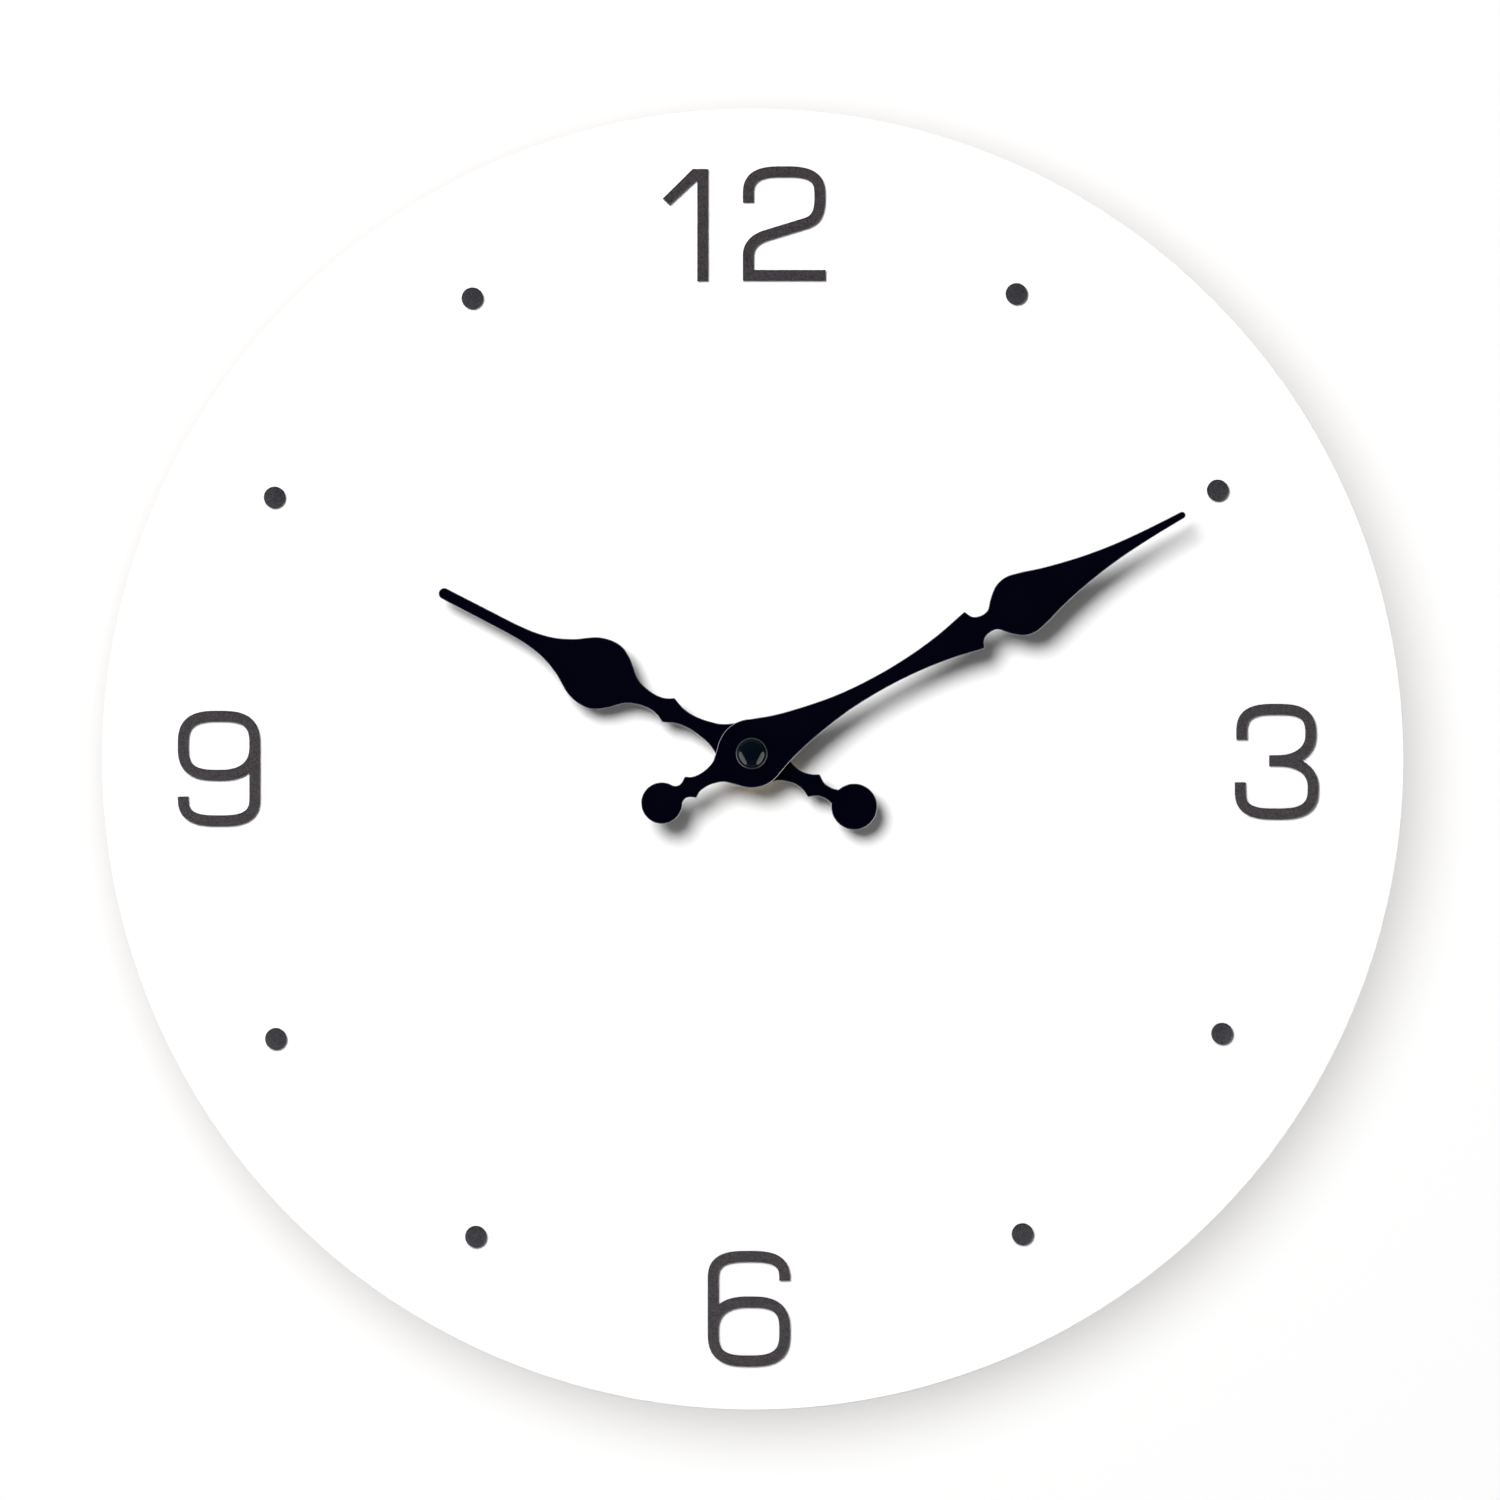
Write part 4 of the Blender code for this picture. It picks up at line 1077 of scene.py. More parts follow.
    def build_dots(self, shop: Workshop) -> None:
        """Makes the dots with one geometry tree, which puts a dot on each of the frame's eight places.

        Args:
            shop: Where the piece is made.
        """
        back, front = Layer.MARKERS.value
        nodes = [f"hour_dot_{hour:02d}" for hour in (1, 2, 4, 5, 7, 8, 10, 11)]
        places = []
        for node in nodes:
            low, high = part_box(node)
            places.append(((low.x + high.x) / 2, back * MM, (low.z + high.z) / 2))
        radius, height, soft = self.dot_radius * MM, (back - front) * MM, self.dot_edge * MM
        tree = Tree("dots", {"Radius": radius, "Height": height, "Soft edge": soft}, on_points=True)
        given, maths = tree.given, tree.sheet.maths
        wall = maths("SUBTRACT", given["Height"], maths("MULTIPLY", given["Soft edge"], 0.6))
        sides = {"Vertices": 64, "Side Segments": 1, "Fill Segments": 1}
        button = tree.add("MeshCylinder", {**sides, "Radius": given["Radius"], "Depth": wall})
        lift = tree.vector(z=maths("MULTIPLY", wall, 0.5))
        top, chosen = tree.add("Transform", {"Geometry": button[0], "Translation": lift})[0], button[1]
        for rise, width in ((0.25, 0.975), (0.2, 0.95), (0.15, 0.92)):
            step = maths("MULTIPLY", given["Soft edge"], rise)
            raised = tree.add("ExtrudeMesh", {"Mesh": top, "Selection": chosen, "Offset Scale": step})
            chosen = raised[1]
            top = tree.add("ScaleElements", {"Geometry": raised[0], "Selection": chosen, "Scale": width})[0]
        facing = tree.rotated(top, (QUARTER_TURN, 0, 0))
        # The dots' sides get the darker finish: painted shade along their edges.
        group = tree.close(tree.repeated(given["Geometry"], facing), DOT_BLACK, DOT_PAINTED_SHADE)
        shop.grow("hour_dots_raised", group, {"Radius": radius}, DOT_BLACK, "clock", nodes, points=places)


@dataclass
class Hand:
    """One spade hand of thin sheet.

    A stretch lists (distance from the axis along the hand, half width). The ball is (distance, radius). The
    bare edge, whose light grey is partly bare metal and partly a painted highlight, is (how far it stands
    out, how deep it is).
    """

    name: str
    body: str
    layer: Layer
    angle: float
    neck_hole: float
    ball: Point
    neck: Sequence[Point]
    waist: Sequence[Point]
    hub_join: float
    blade: Sequence[Point]
    leaf: Sequence[Point]
    tip: float
    hub: float = 7.8
    bare: Point = (0.12, 0.1)

    def outline(self) -> Outline:
        """The edge of the lacquered front, pointing to +Z.

        Returns:
            Its closed outline.
        """
        centre, radius = self.ball
        ball_end = math.degrees(math.acos((self.neck[0][0] - centre) / radius))
        side = [(centre + x, w) for x, w in arc((0, 0), radius, 180, ball_end, 40)][1:-1]
        side += flowing(self.neck)
        side += flowing(self.waist)[1:]
        hub_start = math.degrees(math.atan2(self.waist[-1][1], self.waist[-1][0]))
        hub_end = math.degrees(math.acos(self.hub_join / self.hub))
        side += arc((0, 0), self.hub, hub_start, hub_end, 30)[1:-1]
        side += flowing(self.blade)
        side += flowing(self.leaf)[1:]
        side += arc((self.leaf[-1][0], 0), self.tip, 90, 0, 10)[1:-1]
        side = tidy(side, gap=0.05)
        tail = [(0.0, centre - radius)]
        tip = [(0.0, self.leaf[-1][0] + self.tip)]
        return tail + [(w, r) for r, w in side] + tip + [(-w, r) for r, w in reversed(side)]

    def build(self, shop: Workshop) -> None:
        """Makes the hand, with a thin bare edge where the punch cut it, whose light grey is partly a painted
        highlight.

        Args:
            shop: Where the piece is made.
        """
        cut = offsets(swung(self.outline(), self.angle), self.bare[0])[1]
        plate = Solid().sloped(cut, self.layer, self.bare, [circle(self.neck_hole, 64)])
        # The cut edge gets the light grey finish: bare metal and partly a painted highlight.
        shop.make(f"{self.name}_sheet", plate, (LACQUER, BARE_EDGE_PAINTED_HIGHLIGHT), self.body, [self.name])


MINUTE_HAND = Hand(
    name="minute_hand",
    body="minute",
    layer=Layer.MINUTE_HAND,
    angle=61.05,
    neck_hole=2.35,
    ball=(-23.6, 4.65),
    neck=[(-19.5, 2.2), (-18.9, 1.8), (-18.1, 1.62), (-17.3, 1.82), (-16.05, 2.65)],
    waist=[
        (-16.05, 2.65), (-14.6, 1.82), (-12.6, 1.57), (-10.8, 1.79), (-8.8, 2.5), (-7.1, 3.95), (-5.4, 5.65),
    ],
    hub_join=3.4,
    blade=[
        (3.4, 7.0), (8.7, 5.15), (15.7, 3.5), (24.0, 2.15),
        (33.5, 1.65), (42.0, 1.95), (50.3, 2.95), (58.5, 4.7),
    ],
    leaf=[
        (58.5, 4.7), (59.6, 2.8), (61.6, 2.08), (63.4, 2.4), (65.3, 4.4), (68.0, 6.5), (70.7, 7.1),
        (73.8, 6.5), (79.3, 4.85), (87.6, 2.95), (95.9, 1.7), (104.2, 1.05), (113.1, 0.7),
    ],
    tip=0.7,
)
HOUR_HAND = Hand(
    name="hour_hand",
    body="hour",
    layer=Layer.HOUR_HAND,
    angle=-62.55,
    neck_hole=3.3,
    ball=(-26.6, 5.2),
    neck=[(-21.7, 1.75), (-20.6, 1.42), (-19.4, 1.36), (-18.0, 1.58), (-16.1, 2.8)],
    waist=[
        (-16.1, 2.8), (-14.4, 2.0), (-12.3, 1.6), (-10.4, 1.85), (-8.6, 2.45), (-6.9, 3.65), (-4.5, 6.35),
    ],
    hub_join=3.3,
    blade=[(3.3, 7.05), (5.5, 5.15), (9.0, 2.83), (12.0, 1.96), (15.6, 1.52), (18.7, 1.87), (21.6, 3.0)],
    leaf=[
        (21.6, 3.0), (23.4, 2.06), (25.6, 1.7), (28.4, 2.03), (31.1, 3.05), (34.6, 6.1), (37.4, 7.8),
        (40.1, 8.15), (43.6, 7.35), (48.4, 4.4), (52.6, 2.6), (56.7, 1.7), (60.9, 1.35), (70.0, 1.25),
        (79.7, 1.2),
    ],
    tip=1.2,
)


@dataclass
class Centre:
    """What the hands sit on and what clamps the dial: cap nut, collets, bush, hex nut, washer and gasket."""

    cap: float = 3.6
    cap_bore: float = 1.55
    cap_rim: float = 0.3
    cap_dome: float = 1.9
    bush: float = 4.0
    bush_bore: float = 2.72
    bush_ends: Point = (-15.9, -27.2)
    bush_flange: float = 5.5
    flange_faces: Point = (-16.25, -16.95)
    thread_ends: Point = (-17.3, -26.4)
    thread_pitch: float = 0.75
    thread_depth: float = 0.22
    half_flats: float = 5.5
    nut_bore: float = 4.06

    def build(self, shop: Workshop) -> None:
        """Makes every piece at the centre.

        Args:
            shop: Where the pieces are made.
        """
        self.build_cap(shop)
        self.build_collet(shop, "hour", Layer.HOUR_HAND, 2.62, 3.25, 4.6)
        self.build_collet(shop, "minute", Layer.MINUTE_HAND, 1.62, 2.3, 3.6)
        self.build_bush(shop)
        self.build_clamp(shop)

    def build_cap(self, shop: Workshop) -> None:
        """Makes the domed nut, with a narrow rim round a glossy dome.

        Args:
            shop: Where the piece is made.
        """
        gap, wall, steps = 0.15, 0.5, 18
        bore, radius, dome = self.cap_bore, self.cap, self.cap - self.cap_rim
        back = Layer.MINUTE_HAND.value[1] - gap
        rim = back - wall
        profile = [(bore, back), (radius - 0.1, back), (radius, back - 0.1)]
        profile += [(radius, rim + 0.08), (radius - 0.08, rim), (dome, rim)]
        for i in range(1, steps):
            across, out = at(90.0 * i / steps, 1.0)
            profile.append((dome * across, rim - self.cap_dome * out))
        profile += [(0, rim - self.cap_dome), (0, back - 1.6), (bore - 0.15, back - 1.6), (bore, back - 1.5)]
        solid = Solid().turned(profile, 96, numbers=(0, 1, 1, 1, 1))
        shop.make("cap_nut_dome", solid, (ENAMEL, RIM_METAL), "minute", ["cap_nut"])

    def build_collet(
        self, shop: Workshop, body: str, layer: Layer, bore: float, neck: float, flange: float
    ) -> None:
        """Makes a flanged ring that grips a pipe, spun over the front of its hand.

        Args:
            shop: Where the piece is made.
            body: The body it rides on.
            layer: The hand it holds.
            bore: The radius of its bore.
            neck: The radius of its neck.
            flange: The radius of its flange.
        """
        back, front = layer.value
        seat, end, bevel = back + 0.05, front - 0.1, 0.08
        profile = [(bore, seat + 0.6), (flange - 0.15, seat + 0.6), (flange, seat + 0.45), (flange, seat)]
        profile += [(neck, seat), (neck, end + bevel), (neck - bevel, end)]
        profile += [(bore + bevel, end), (bore, end + bevel)]
        node = f"{body}_hand_collet"
        shop.make(f"{node}_turned", Solid().turned(profile, 72), (BRASS,), body, [node])

    def build_bush(self, shop: Workshop) -> None:
        """Makes the bush with a real thread, which follows the helix round its outside.

        Args:
            shop: Where the piece is made.
        """
        steps, chamfer = 48, 0.1
        bore, root, flange = self.bush_bore, self.bush - self.thread_depth, self.bush_flange
        (back, front), (near, far) = self.bush_ends, self.flange_faces
        core = [(bore, back), (self.bush, back), (self.bush, near), (flange - chamfer, near)]
        core += [(flange, near - chamfer), (flange, far), (root, far), (root, front + chamfer)]
        core += [(root - 0.2, front), (bore + 0.08, front), (bore, front + chamfer)]
        solid = Solid().turned(core, steps)
        base, inner = len(solid.vertices), root - 0.1
        first, last = self.thread_ends
        turns = int((first - last) / self.thread_pitch * steps)
        crest = ((0.0, root), (0.35, self.bush), (0.5, self.bush), (0.85, root))
        for k in range(turns + 1):
            fade = min(1.0, k / steps, (turns - k) / steps)
            y = first - self.thread_pitch * k / steps
            risen = [(share, inner + (radius - inner) * fade) for share, radius in crest]
            for share, radius in ((0.0, inner), *risen, (0.85, inner)):
                x, z = at(360.0 * k / steps, radius)
                solid.vertices.append((x, y - share * self.thread_pitch, z))
        size = len(crest) + 2
        for k in range(turns):
            for j in range(size):
                a, b = base + k * size + j, base + k * size + (j + 1) % size
                solid.face((a, b, b + size, a + size), 0)
        for end in (base, base + turns * size):
            solid.face(tuple(end + j for j in range(size)), 0)
        shop.make("threaded_bush_cut", solid, (BRASS,), "clock", ["threaded_bush"])

    def build_clamp(self, shop: Workshop) -> None:
        """Makes the hex nut, its washer and the gasket behind the board.

        Args:
            shop: Where the pieces are made.
        """
        hexagon = circle(self.half_flats / math.cos(math.pi / 6), 6)
        nut = Solid().plate(hexagon, *Layer.HEX_NUT.value, [circle(self.nut_bore, 48)])
        shop.make("arbor_hex_nut_cut", nut, (BRASS,), "clock", ["arbor_hex_nut"], edge=0.3, segments=3)
        washer = Solid().turned(ring_profile(4.1, 7.0, Layer.WASHER, 0.1), 72)
        shop.make("arbor_washer_punched", washer, (BRASS,), "clock", ["arbor_washer"])
        gasket = Solid().turned(ring_profile(4.3, 13.0, Layer.GASKET, 0.2), 96)
        shop.make("dial_gasket_ring", gasket, (RUBBER,), "clock", ["dial_gasket"])


@dataclass
class Cell:
    """The battery cell in its wrapper, and the contacts that grip it."""

    radius: float = 7.25
    length: float = 50.5
    blue: float = 15.0
    line: float = 0.7
    middle: Place = (0.0, -8.0, -18.9)

    def build(self, shop: Workshop) -> None:
        """Makes the cell and dresses the contacts.

        Args:
            shop: Where the pieces are made.
        """
        tip, r = self.length / 2, self.radius
        blue_end = tip - self.blue
        profile = [(0, tip - 0.25), (r - 1.6, tip - 0.25), (r - 1.5, tip), (r - 0.7, tip)]
        profile += [(r - 0.25, tip - 0.2), (r, tip - 0.7), (r, blue_end), (r, blue_end - self.line)]
        profile += [(r, 2.6 - tip)]
        profile += [(r - 0.25, 2.0 - tip), (r - 0.9, 1.75 - tip), (r - 1.4, 1.9 - tip), (3.1, 1.9 - tip)]
        profile += [(2.9, 1.6 - tip), (2.75, 0.25 - tip), (2.5, -tip), (0, -tip)]
        blue, silver, nickel, white = range(4)
        numbers = [nickel] * 3 + [silver] * 2 + [blue, white] + [silver] * 4 + [nickel] * 6
        cell = Solid().turned(profile, 96, numbers=numbers).along_x().moved(*self.middle)
        finishes = (CELL_BLUE, CELL_SILVER, NICKEL, CELL_WHITE)
        shop.make("battery_cell_wrapped", cell, finishes, "battery", ["battery_cell"])
        for end in ("negative", "positive"):
            shop.dress(f"battery_contact_{end}", NICKEL)


@dataclass
class BackCover:
    """The movement's back cover, with the battery opening, the knob's well and three bearings."""

    half: float = 28.0
    corner: float = 3.0
    depth: float = -1.4
    opening: tuple[float, float, float, float] = (-25.9, -26.5, 25.9, -11.2)
    well: float = 6.7
    well_floor: Point = (-2.6, -3.4)
    knob: Point = joint_place("knob_turn")
    boss: float = 1.6
    bores: tuple[tuple[str, float], ...] = (("seconds_turn", 0.58), ("step_turn", 0.46), ("rotor_turn", 0.46))

    def build(self, shop: Workshop) -> None:
        """Makes the cover.

        Args:
            shop: Where the pieces are made.
        """
        outline = rounded_rectangle(-self.half, -self.half, self.half, self.half, self.corner)
        opening = rounded_rectangle(*self.opening, 1.0, 6)
        plate = Solid().plate(outline, 0.0, self.depth, [opening, circle(self.well + 0.3, 72, self.knob)])
        node = "movement_rear_cover"
        shop.make("rear_cover_plate", plate, (COVER_PLASTIC,), "clock", [node], edge=0.25, segments=3)
        r, axle, under = self.well, 1.2, self.depth - 0.05
        top, bottom = self.well_floor
        well = [(axle, top), (r, top), (r, -0.3), (r + 0.15, -0.15), (r + 0.25, -0.15), (r + 0.25, under)]
        well += [(r + 0.9, under), (r + 0.9, bottom), (axle, bottom)]
        shop.make("knob_well", Solid().turned(well, 72, self.knob), (COVER_PLASTIC,), "clock", [])
        bearings, seat, blind = Solid(), self.depth + 0.05, self.depth - 0.15
        for name, bore in self.bores:
            boss = [(0, seat), (self.boss, seat), (self.boss, bottom + 0.1), (self.boss - 0.1, bottom)]
            boss += [(bore, bottom), (bore, blind), (0, blind)]
            bearings.turned(boss, 32, joint_place(name))
        shop.make("cover_bearings", bearings, (COVER_PLASTIC,), "clock", [])


@dataclass
class Hanger:
    """The steel bracket that hangs the clock by a keyhole, and its two rivets."""

    half: float = 10.0
    bottom: float = 28.1
    top: float = 46.0
    head: tuple[Point, float] = ((0.0, 34.5), 4.2)
    slot: tuple[Point, float] = ((0.0, 40.5), 2.3)
    foot_top: float = 29.3
    foot_depths: Point = (-1.8, -12.0)
    rivet: Place = (6.0, -7.5, 29.25)

    def build(self, shop: Workshop) -> None:
        """Makes the bracket and its rivets.

        Args:
            shop: Where the pieces are made.
        """
        keyhole = arc(*self.head, 123, 417, 48) + arc(*self.slot, 0, 180, 24)
        outline = rounded_rectangle(-self.half, self.bottom, self.half, self.top, 4.0)
        sheet = Solid().plate(outline, *Layer.BRACKET.value, [keyhole])
        shop.make("hanger_bracket_upright", sheet, (ZINC,), "clock", ["hanger_bracket"], edge=0.2)
        corners = [(-self.half, self.bottom), (self.half, self.bottom)]
        corners += [(self.half, self.foot_top), (-self.half, self.foot_top)]
        foot = Solid().plate(corners, *self.foot_depths)
        shop.make("hanger_bracket_foot", foot, (ZINC,), "clock", [], edge=0.2)
        head = [(0.0, 0.0), (1.55, 0.0), (1.6, 0.12), (1.45, 0.45), (1.05, 0.68), (0.5, 0.8), (0.0, 0.82)]
        x, y, z = self.rivet
        for side, name in ((-1, "left"), (1, "right")):
            rivet = Solid().turned(head, 32).upright().moved(side * x, y, z)
            shop.make(f"hanger_rivet_{name}", rivet, (ZINC,), "clock", [])


@dataclass
class SettingKnob:
    """The red knob that sets the hands. The frame's own knob shows, with a raised rim and ribs added."""

    place: Point = joint_place("knob_turn")
    rim: Point = (4.9, 5.6)
    rim_depths: Point = (-0.45, -0.15)
    ribs: int = 24
    ring: float = 6.1
    rib_radius: float = 0.32
    rib_length: float = 1.5
    rib_depth: float = -1.38

    def build(self, shop: Workshop) -> None:
        """Makes the rim, and the ring of ribs with a geometry tree, and dresses the knob.

        Args:
            shop: Where the pieces are made.
        """
        (inside, outside), (base, top) = self.rim, self.rim_depths
        rim = [(inside, base), (inside, top - 0.1), (inside + 0.1, top)]
        rim += [(outside - 0.1, top), (outside, top - 0.1), (outside, base)]
        shop.make("setting_knob_rim", Solid().turned(rim, 72, self.place), (RED_ACETAL,), "knob", [])
        inputs = {
            "Count": self.ribs,
            "Ring radius": self.ring * MM,
            "Rib radius": self.rib_radius * MM,
            "Rib length": self.rib_length * MM,
            "Middle": (0.0, 0.0, 0.0),
        }
        tree = Tree("ring_of_ribs", inputs)
        given = tree.given
        ring = tree.add("MeshCircle", {"Vertices": given["Count"], "Radius": given["Ring radius"]})[0]
        facing_back = (QUARTER_TURN, math.pi / self.ribs, 0)
        placed = tree.rotated(tree.repeated(ring, tree.rib(10)), facing_back, given["Middle"])
        group = tree.close(placed, RED_ACETAL)
        x, z = self.place
        middle = (x * MM, self.rib_depth * MM, z * MM)
        shop.grow("setting_knob_ribs", group, {"Middle": middle}, RED_ACETAL, "knob", [])
        shop.dress("setting_knob", RED_ACETAL)


@dataclass
class Winding:
    """The coil's winding, whose outer turns of wire are laid side by side."""

    wire: float = 0.1
    turns: int = 69
    corner: float = 0.7

    def build(self, shop: Workshop) -> None:
        """Makes the outer turns round the frame's own winding with a geometry tree, and dresses the winding.

        Args:
            shop: Where the piece is made.
        """
        low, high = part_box("coil_winding")
        middle = (low + high) / 2
        inputs = {
            "Turns": self.turns,
            "Height": high.z - low.z,
            "Depth": high.y - low.y,
            "Corner": self.corner * MM,
            "Wire radius": self.wire * MM,
            "First turn": (0.0, 0.0, 0.0),
        }
        tree = Tree("turns_of_wire", inputs)
        given = tree.given
        sides = {"Width": given["Height"], "Height": given["Depth"]}
        around = tree.add("CurvePrimitiveQuadrilateral", sides, mode="RECTANGLE")[0]
        fillet = {"Curve": around, "Count": 3, "Radius": given["Corner"]}
        rounded = tree.add("FilletCurve", fillet, mode="POLY")[0]
        section = {"Resolution": 6, "Radius": given["Wire radius"]}
        profile = tree.add("CurvePrimitiveCircle", section, mode="RADIUS")[0]
        turn = tree.add("CurveToMesh", {"Curve": rounded, "Profile Curve": profile})[0]
        step = tree.vector(tree.sheet.maths("MULTIPLY", given["Wire radius"], 2.0))
        row = tree.row(given["Turns"], given["First turn"], step)
        group = tree.close(tree.repeated(row, tree.rotated(turn, (0, QUARTER_TURN, 0))), COPPER)
        start = (low.x + self.wire * MM, middle.y, middle.z)
        shop.grow("coil_wire", group, {"First turn": start}, COPPER, "clock", [])
        shop.dress("coil_winding", COPPER)


@dataclass
class CaseTrim:
    """The snap latches on the movement's sides, and the rows of grip ribs beside them."""

    half: float = 28.0
    latches: tuple[Point, ...] = ((27.9, 17.0), (27.9, -2.0), (-16.0, 27.9), (16.0, 27.9))
    latch_depths: Point = (-1.6, -5.6)
    ribs: int = 9
    spacing: float = 1.3
    rib_radius: float = 0.35
    rib_length: float = 8.0
    rib_depth: float = -11.2
    first_rib: float = 2.3

    def build(self, shop: Workshop) -> None:
        """Makes the latches, and the ribs with a geometry tree.

        Args:
            shop: Where the pieces are made.
        """
        for i, (x, z) in enumerate(self.latches):
            for side, name in ((1, "right"), (-1, "left")):
                tab = rounded_rectangle(-0.1, -3.0, 0.55, 3.0, 0.3, 4)
                if z > x:
                    tab = [(b, a) for a, b in reversed(tab)]
                tab = [(side * (x + a), side * (z + b)) for a, b in tab]
                latch = Solid().plate(tab, *self.latch_depths)
                shop.make(f"case_latch_{i}_{name}", latch, (CASE_PLASTIC,), "clock", [], edge=0.15)
        inputs = {
            "Count": self.ribs,
            "Spacing": self.spacing * MM,
            "Rib radius": self.rib_radius * MM,
            "Rib length": self.rib_length * MM,
            "Case half width": self.half * MM,
            "Depth": self.rib_depth * MM,
            "First rib": self.first_rib * MM,
        }
        tree = Tree("rows_of_grip_ribs", inputs)
        given = tree.given
        start = tree.vector(given["Case half width"], given["Depth"], given["First rib"])
        row = tree.row(given["Count"], start, tree.vector(z=given["Spacing"]))
        right = tree.repeated(row, tree.rotated(tree.rib(12), (QUARTER_TURN, 0, 0)))
        left = tree.rotated(right, (0, 2 * QUARTER_TURN, 0))
        both = tree.sheet.add("GeometryNodeJoinGeometry")
        for rows in (right, left):
            tree.sheet.feed(both.inputs[0], rows)
        group = tree.close(both.outputs[0], CASE_PLASTIC)
        shop.grow("case_grip_ribs", group, {"Count": self.ribs}, CASE_PLASTIC, "clock", [])


@dataclass
class Printing:
    """What is printed on the back cover: a plus, a minus, and an arrow each way round the knob."""

    depths: Point = (0.02, -0.05)
    sign: Point = (22.0, -7.65)
    bar: Point = (2.0, 0.35)
    knob: Point = joint_place("knob_turn")
    outside: float = 10.0
    inside: float = 9.4

    def build(self, shop: Workshop) -> None:
        """Prints the signs and the arrows.

        Args:
            shop: Where the pieces are made.
        """
        (x, z), (long, short) = self.sign, self.bar
        signs = (
            ("print_plus_across", (x, z), long, short),
            ("print_plus_up", (x, z), short, long),
            ("print_minus", (-x, z), long, short),
        )
        for name, centre, wide, high in signs:
            corners = [(-wide, -high), (wide, -high), (wide, high), (-wide, high)]
            self.stamp(shop, name, shifted(corners, centre))
        for name, start, end in (("print_arrow_left", 215.0, 258.0), ("print_arrow_right", 325.0, 282.0)):
            point = start - math.copysign(12.0, end - start)
            shaft = arc(self.knob, self.outside, start, end, 16) + arc(self.knob, self.inside, end, start, 16)
            self.stamp(shop, name, shaft)
            head = [at(start, 10.9, self.knob), at(start, 8.5, self.knob), at(point, 9.7, self.knob)]
            self.stamp(shop, f"{name}_head", head)

    def stamp(self, shop: Workshop, name: str, outline: Outline) -> None:
        """Prints one shape."""
        shop.make(name, Solid().plate(outline, *self.depths), (PRINT,), "clock", [])


@dataclass
class Works:
    """What is inside the movement: the case shell, the circuit, the motor, the train and the motion work."""

    finishes: tuple[tuple[Finish, tuple[str, ...]], ...] = (
        (CASE_PLASTIC, ("movement_front_case",)),
        (GREY_PLASTIC, ("middle_plate",)),
        (LAMINATE, ("circuit_board",)),
        (RESIN, ("chip_resin",)),
        (NICKEL, ("quartz_crystal",)),
        (STEEL, ("coil_core", "stator_plate", "seconds_arbor")),
        (NYLON, ("coil_bobbin", "rotor_pinion")),
        (FERRITE, ("rotor_magnet",)),
        (IVORY, ("step_wheel", "third_wheel", "centre_wheel", "motion_wheel", "hour_wheel")),
        (RED_ACETAL, ("seconds_wheel",)),
        (BRASS, ("minute_pipe",)),
    )

    def build(self, shop: Workshop) -> None:
        """Dresses the frame's own nodes.

        Args:
            shop: Where they are dressed.
        """
        for finish, nodes in self.finishes:
            for node in nodes:
                shop.dress(node, finish)


@dataclass(frozen=True)
class Lamp:
    """One soft oval light, with its place and sizes in metres and its power in watts."""

    name: str
    place: Place
    width: float
    power: float
    height: float | None = None
    glossy: bool = True
    diffuse: bool = True

    def hang(self, target: Vector) -> bpy.types.Object:
        """Makes the light.

        Args:
            target: Where it points.

        Returns:
            The light's object.
        """
        data = bpy.data.lights.new(self.name, "AREA")
        data.shape = "ELLIPSE"
        data.size = self.width
        data.size_y = self.height or self.width
        data.energy = self.power
        lamp = bpy.data.objects.new(self.name, data)
        lamp.location = self.place
        lamp.rotation_euler = (target - Vector(self.place)).to_track_quat("-Z", "Y").to_euler()
        lamp.visible_glossy = self.glossy
        lamp.visible_diffuse = self.diffuse
        bpy.context.scene.collection.objects.link(lamp)
        return lamp


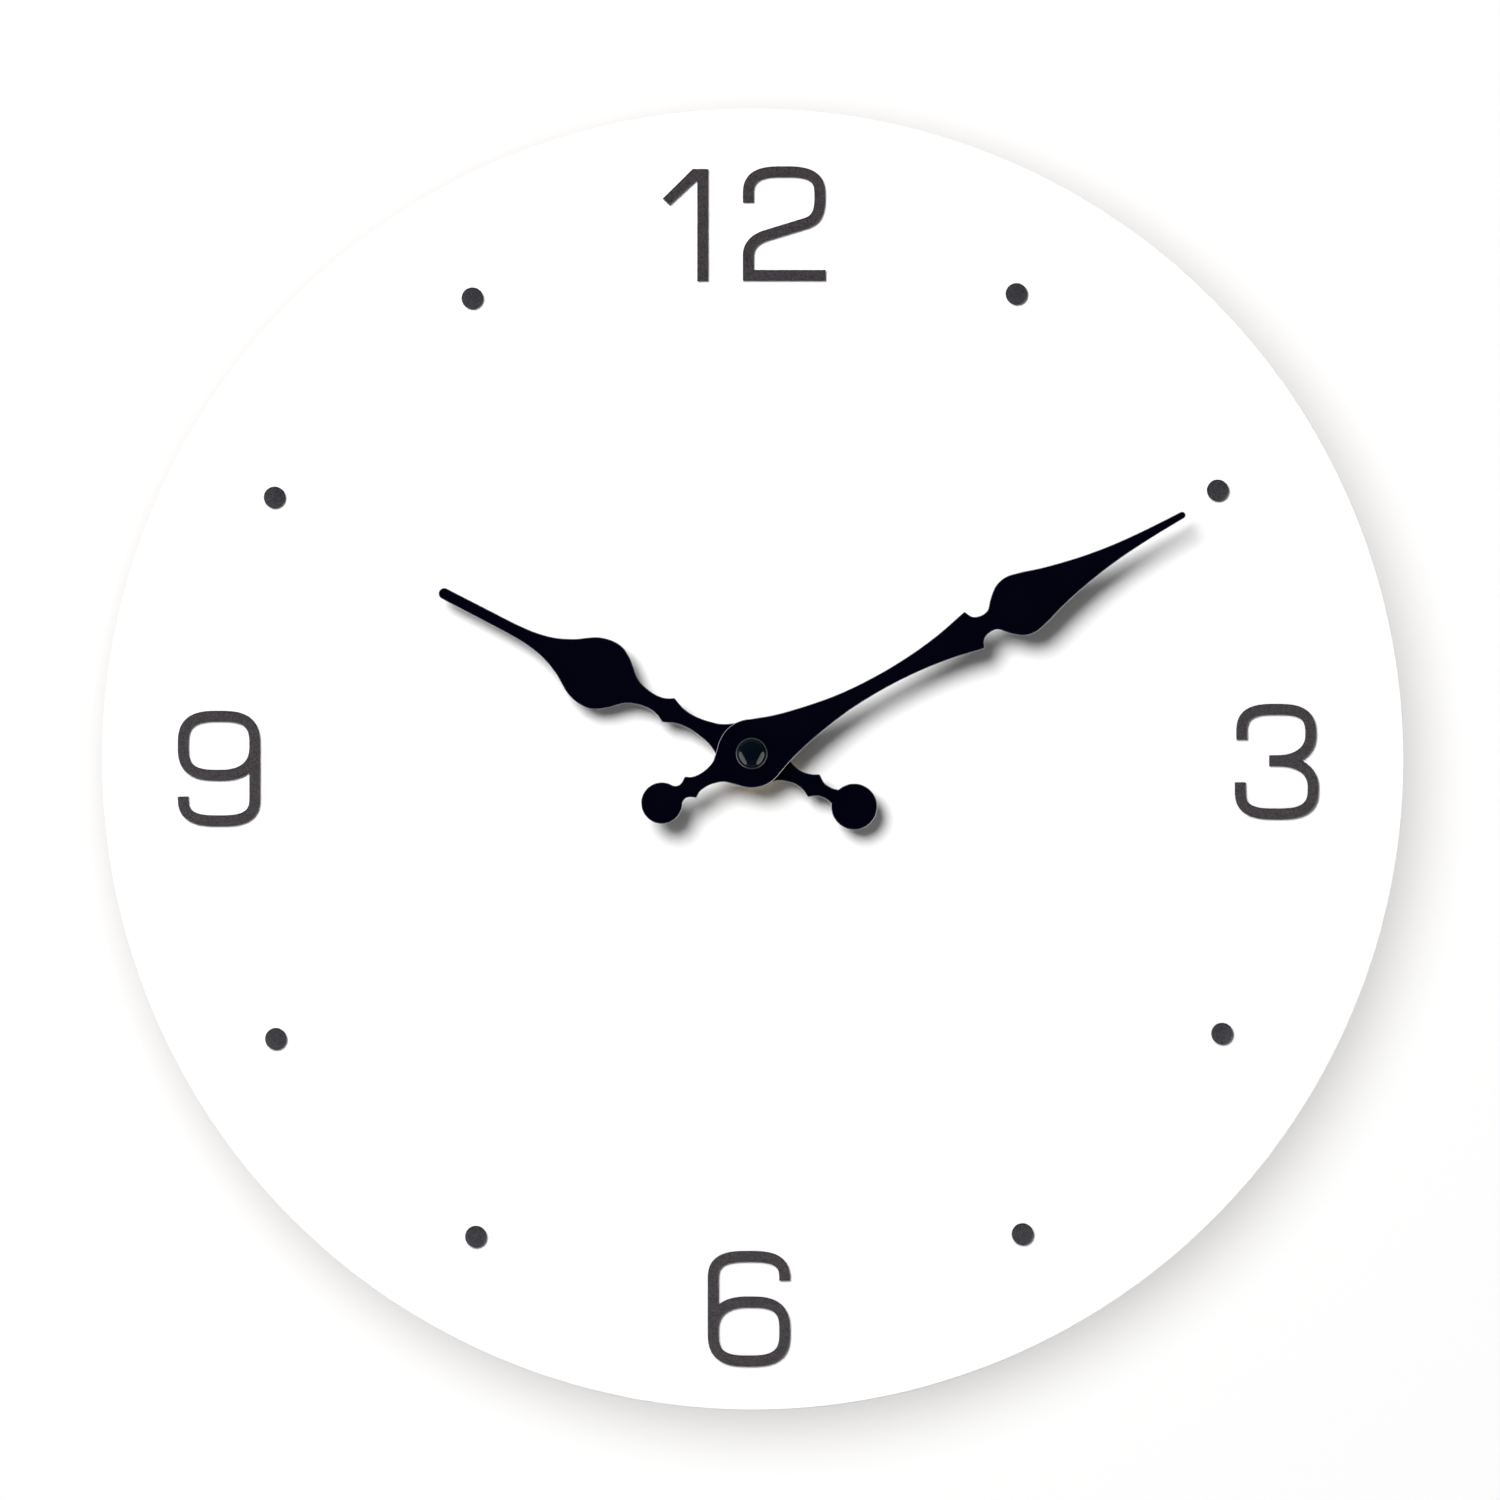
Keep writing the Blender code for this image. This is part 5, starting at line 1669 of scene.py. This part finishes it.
@dataclass
class Studio:
    """The wall, the floor, the lights and the camera. The view is in millimetres, the rest in metres."""

    view_middle: Point = (-0.37, 0.78)
    view_width: float = 345.8
    distance: float = 3.0
    reach: float = 3.0
    wall_top: float = 3.0
    wall_gap: float = 0.0006
    wall_glow: float = 0.5
    floor_level: float = -2.5
    ambient: float = 0.27
    dial: Place = (0.0, -0.024, 0.0)
    key: Lamp = Lamp("key", (-0.74, -1.72, 0.83), 1.12, 56.0, glossy=False)
    wash: Lamp = Lamp("wall_wash", (-0.28, -1.92, 0.32), 1.75, 74.0, glossy=False)

    def build(self) -> None:
        """Makes everything that isn't the clock."""
        self.build_wall()
        self.build_floor()
        self.build_world()
        self.build_lights()
        self.build_camera()

    def build_camera(self) -> None:
        """Makes the camera, straight in front of the dial."""
        camera = bpy.data.cameras.new("camera")
        camera.sensor_width = 36.0
        camera.lens = camera.sensor_width * self.distance / (self.view_width * MM)
        camera.clip_end = 20.0
        holder = bpy.data.objects.new("camera", camera)
        x, z = self.view_middle
        holder.location = (x * MM, -self.distance + Layer.FACE.value[1] * MM, z * MM)
        holder.rotation_euler = (QUARTER_TURN, 0, 0)
        bpy.context.scene.collection.objects.link(holder)
        bpy.context.scene.camera = holder

    def build_sheet(self, name: str, corners: Sequence[Place], material: bpy.types.Material) -> Piece:
        """Makes one flat backdrop.

        Args:
            name: Its name.
            corners: Its corners, in metres.
            material: Its material.

        Returns:
            The backdrop.
        """
        mesh = bpy.data.meshes.new(name)
        mesh.from_pydata(corners, [], [(0, 1, 2, 3)])
        mesh.materials.append(material)
        sheet = bpy.data.objects.new(name, mesh)
        bpy.context.scene.collection.objects.link(sheet)
        return sheet

    def build_wall(self) -> None:
        """Makes the pale wall that the clock hangs on, which is clear from behind and blocks no light."""
        material = bpy.data.materials.new("wall_paint")
        material.use_nodes = True
        sheet = NodeSheet(material.node_tree)
        shader = material.node_tree.nodes["Principled BSDF"]
        shader.inputs["Base Color"].default_value = (0.3, 0.3, 0.3, 1.0)
        shader.inputs["Roughness"].default_value = 1.0
        shader.inputs["Specular IOR Level"].default_value = 0.0
        shader.inputs["Emission Color"].default_value = (1.0, 1.0, 1.0, 1.0)
        shader.inputs["Emission Strength"].default_value = self.wall_glow
        clear = sheet.add("ShaderNodeBsdfTransparent")
        behind = sheet.add("ShaderNodeNewGeometry").outputs["Backfacing"]
        mix = sheet.add("ShaderNodeMixShader", {0: behind, 1: shader.outputs[0], 2: clear.outputs[0]})
        sheet.feed(material.node_tree.nodes["Material Output"].inputs["Surface"], mix.outputs[0])
        y, side, low, high = self.wall_gap, self.reach, self.floor_level, self.wall_top
        corners = [(-side, y, low), (side, y, low), (side, y, high), (-side, y, high)]
        wall = self.build_sheet("wall", corners, material)
        wall.visible_shadow = False
        wall.visible_diffuse = False
        wall.visible_glossy = False

    def build_floor(self) -> None:
        """Makes the pale floor far below the clock."""
        material = bpy.data.materials.new("floor_paint")
        material.use_nodes = True
        shader = material.node_tree.nodes["Principled BSDF"]
        shader.inputs["Base Color"].default_value = (0.8, 0.8, 0.79, 1.0)
        shader.inputs["Roughness"].default_value = 0.8
        side, z = self.reach + 1.0, self.floor_level
        corners = [(-side, -side, z), (side, -side, z), (side, side, z), (-side, side, z)]
        self.build_sheet("floor", corners, material)

    def build_world(self) -> None:
        """Makes a soft surround, bright behind the clock and dark in front, so that its blacks stay black."""
        world = bpy.data.worlds.new("studio")
        world.use_nodes = True
        bpy.context.scene.world = world
        sheet = NodeSheet(world.node_tree)
        direction = sheet.add("ShaderNodeTexCoord").outputs["Generated"]
        depth = sheet.add("ShaderNodeSeparateXYZ", {0: direction}).outputs[1]
        strength = sheet.maths("MULTIPLY", sheet.stretch(depth, (-1.6, 0.35)), self.ambient)
        background = world.node_tree.nodes["Background"]
        background.inputs["Color"].default_value = (1.0, 1.0, 1.0, 1.0)
        sheet.feed(background.inputs["Strength"], strength)

    def build_lights(self) -> None:
        """Makes the key light from the upper left, a broad light for the wall, and lights at both sides."""
        dial = Vector(self.dial)
        key, wash = self.key.hang(dial), self.wash.hang(dial)
        for lamp, sheets, state in ((key, ("wall", "floor"), "EXCLUDE"), (wash, ("wall",), "INCLUDE")):
            receivers = bpy.data.collections.new(f"{lamp.name}_receivers")
            lamp.light_linking.receiver_collection = receivers
            for title in sheets:
                receivers.objects.link(bpy.data.objects[title])
            for receiver in receivers.collection_objects:
                receiver.light_linking.link_state = state
        for side in (-1.0, 1.0):
            card = Lamp(f"card_{side:+.0f}", (side * 0.54, -0.2, -0.3), 0.7, 13.0, height=0.91, diffuse=False)
            card.hang(dial)
            Lamp(f"behind_{side:+.0f}", (side * 0.9, 1.4, 0.8), 0.9, 20.0).hang(dial)


def main() -> None:
    """Builds the clock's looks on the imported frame."""
    logging.basicConfig(level=logging.INFO, format="%(name)s: %(message)s")
    bpy.context.scene.view_settings.view_transform = "Standard"
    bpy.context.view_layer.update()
    shop = Workshop()
    front = (Dial(), HOUR_HAND, MINUTE_HAND, Centre(), Cell())
    movement = (BackCover(), Hanger(), SettingKnob(), Winding(), CaseTrim(), Printing(), Works())
    for assembly in (*front, *movement):
        assembly.build(shop)
    Studio().build()
    LOG.info("%d pieces made", len(shop.made))


if __name__ == "__main__":
    main()
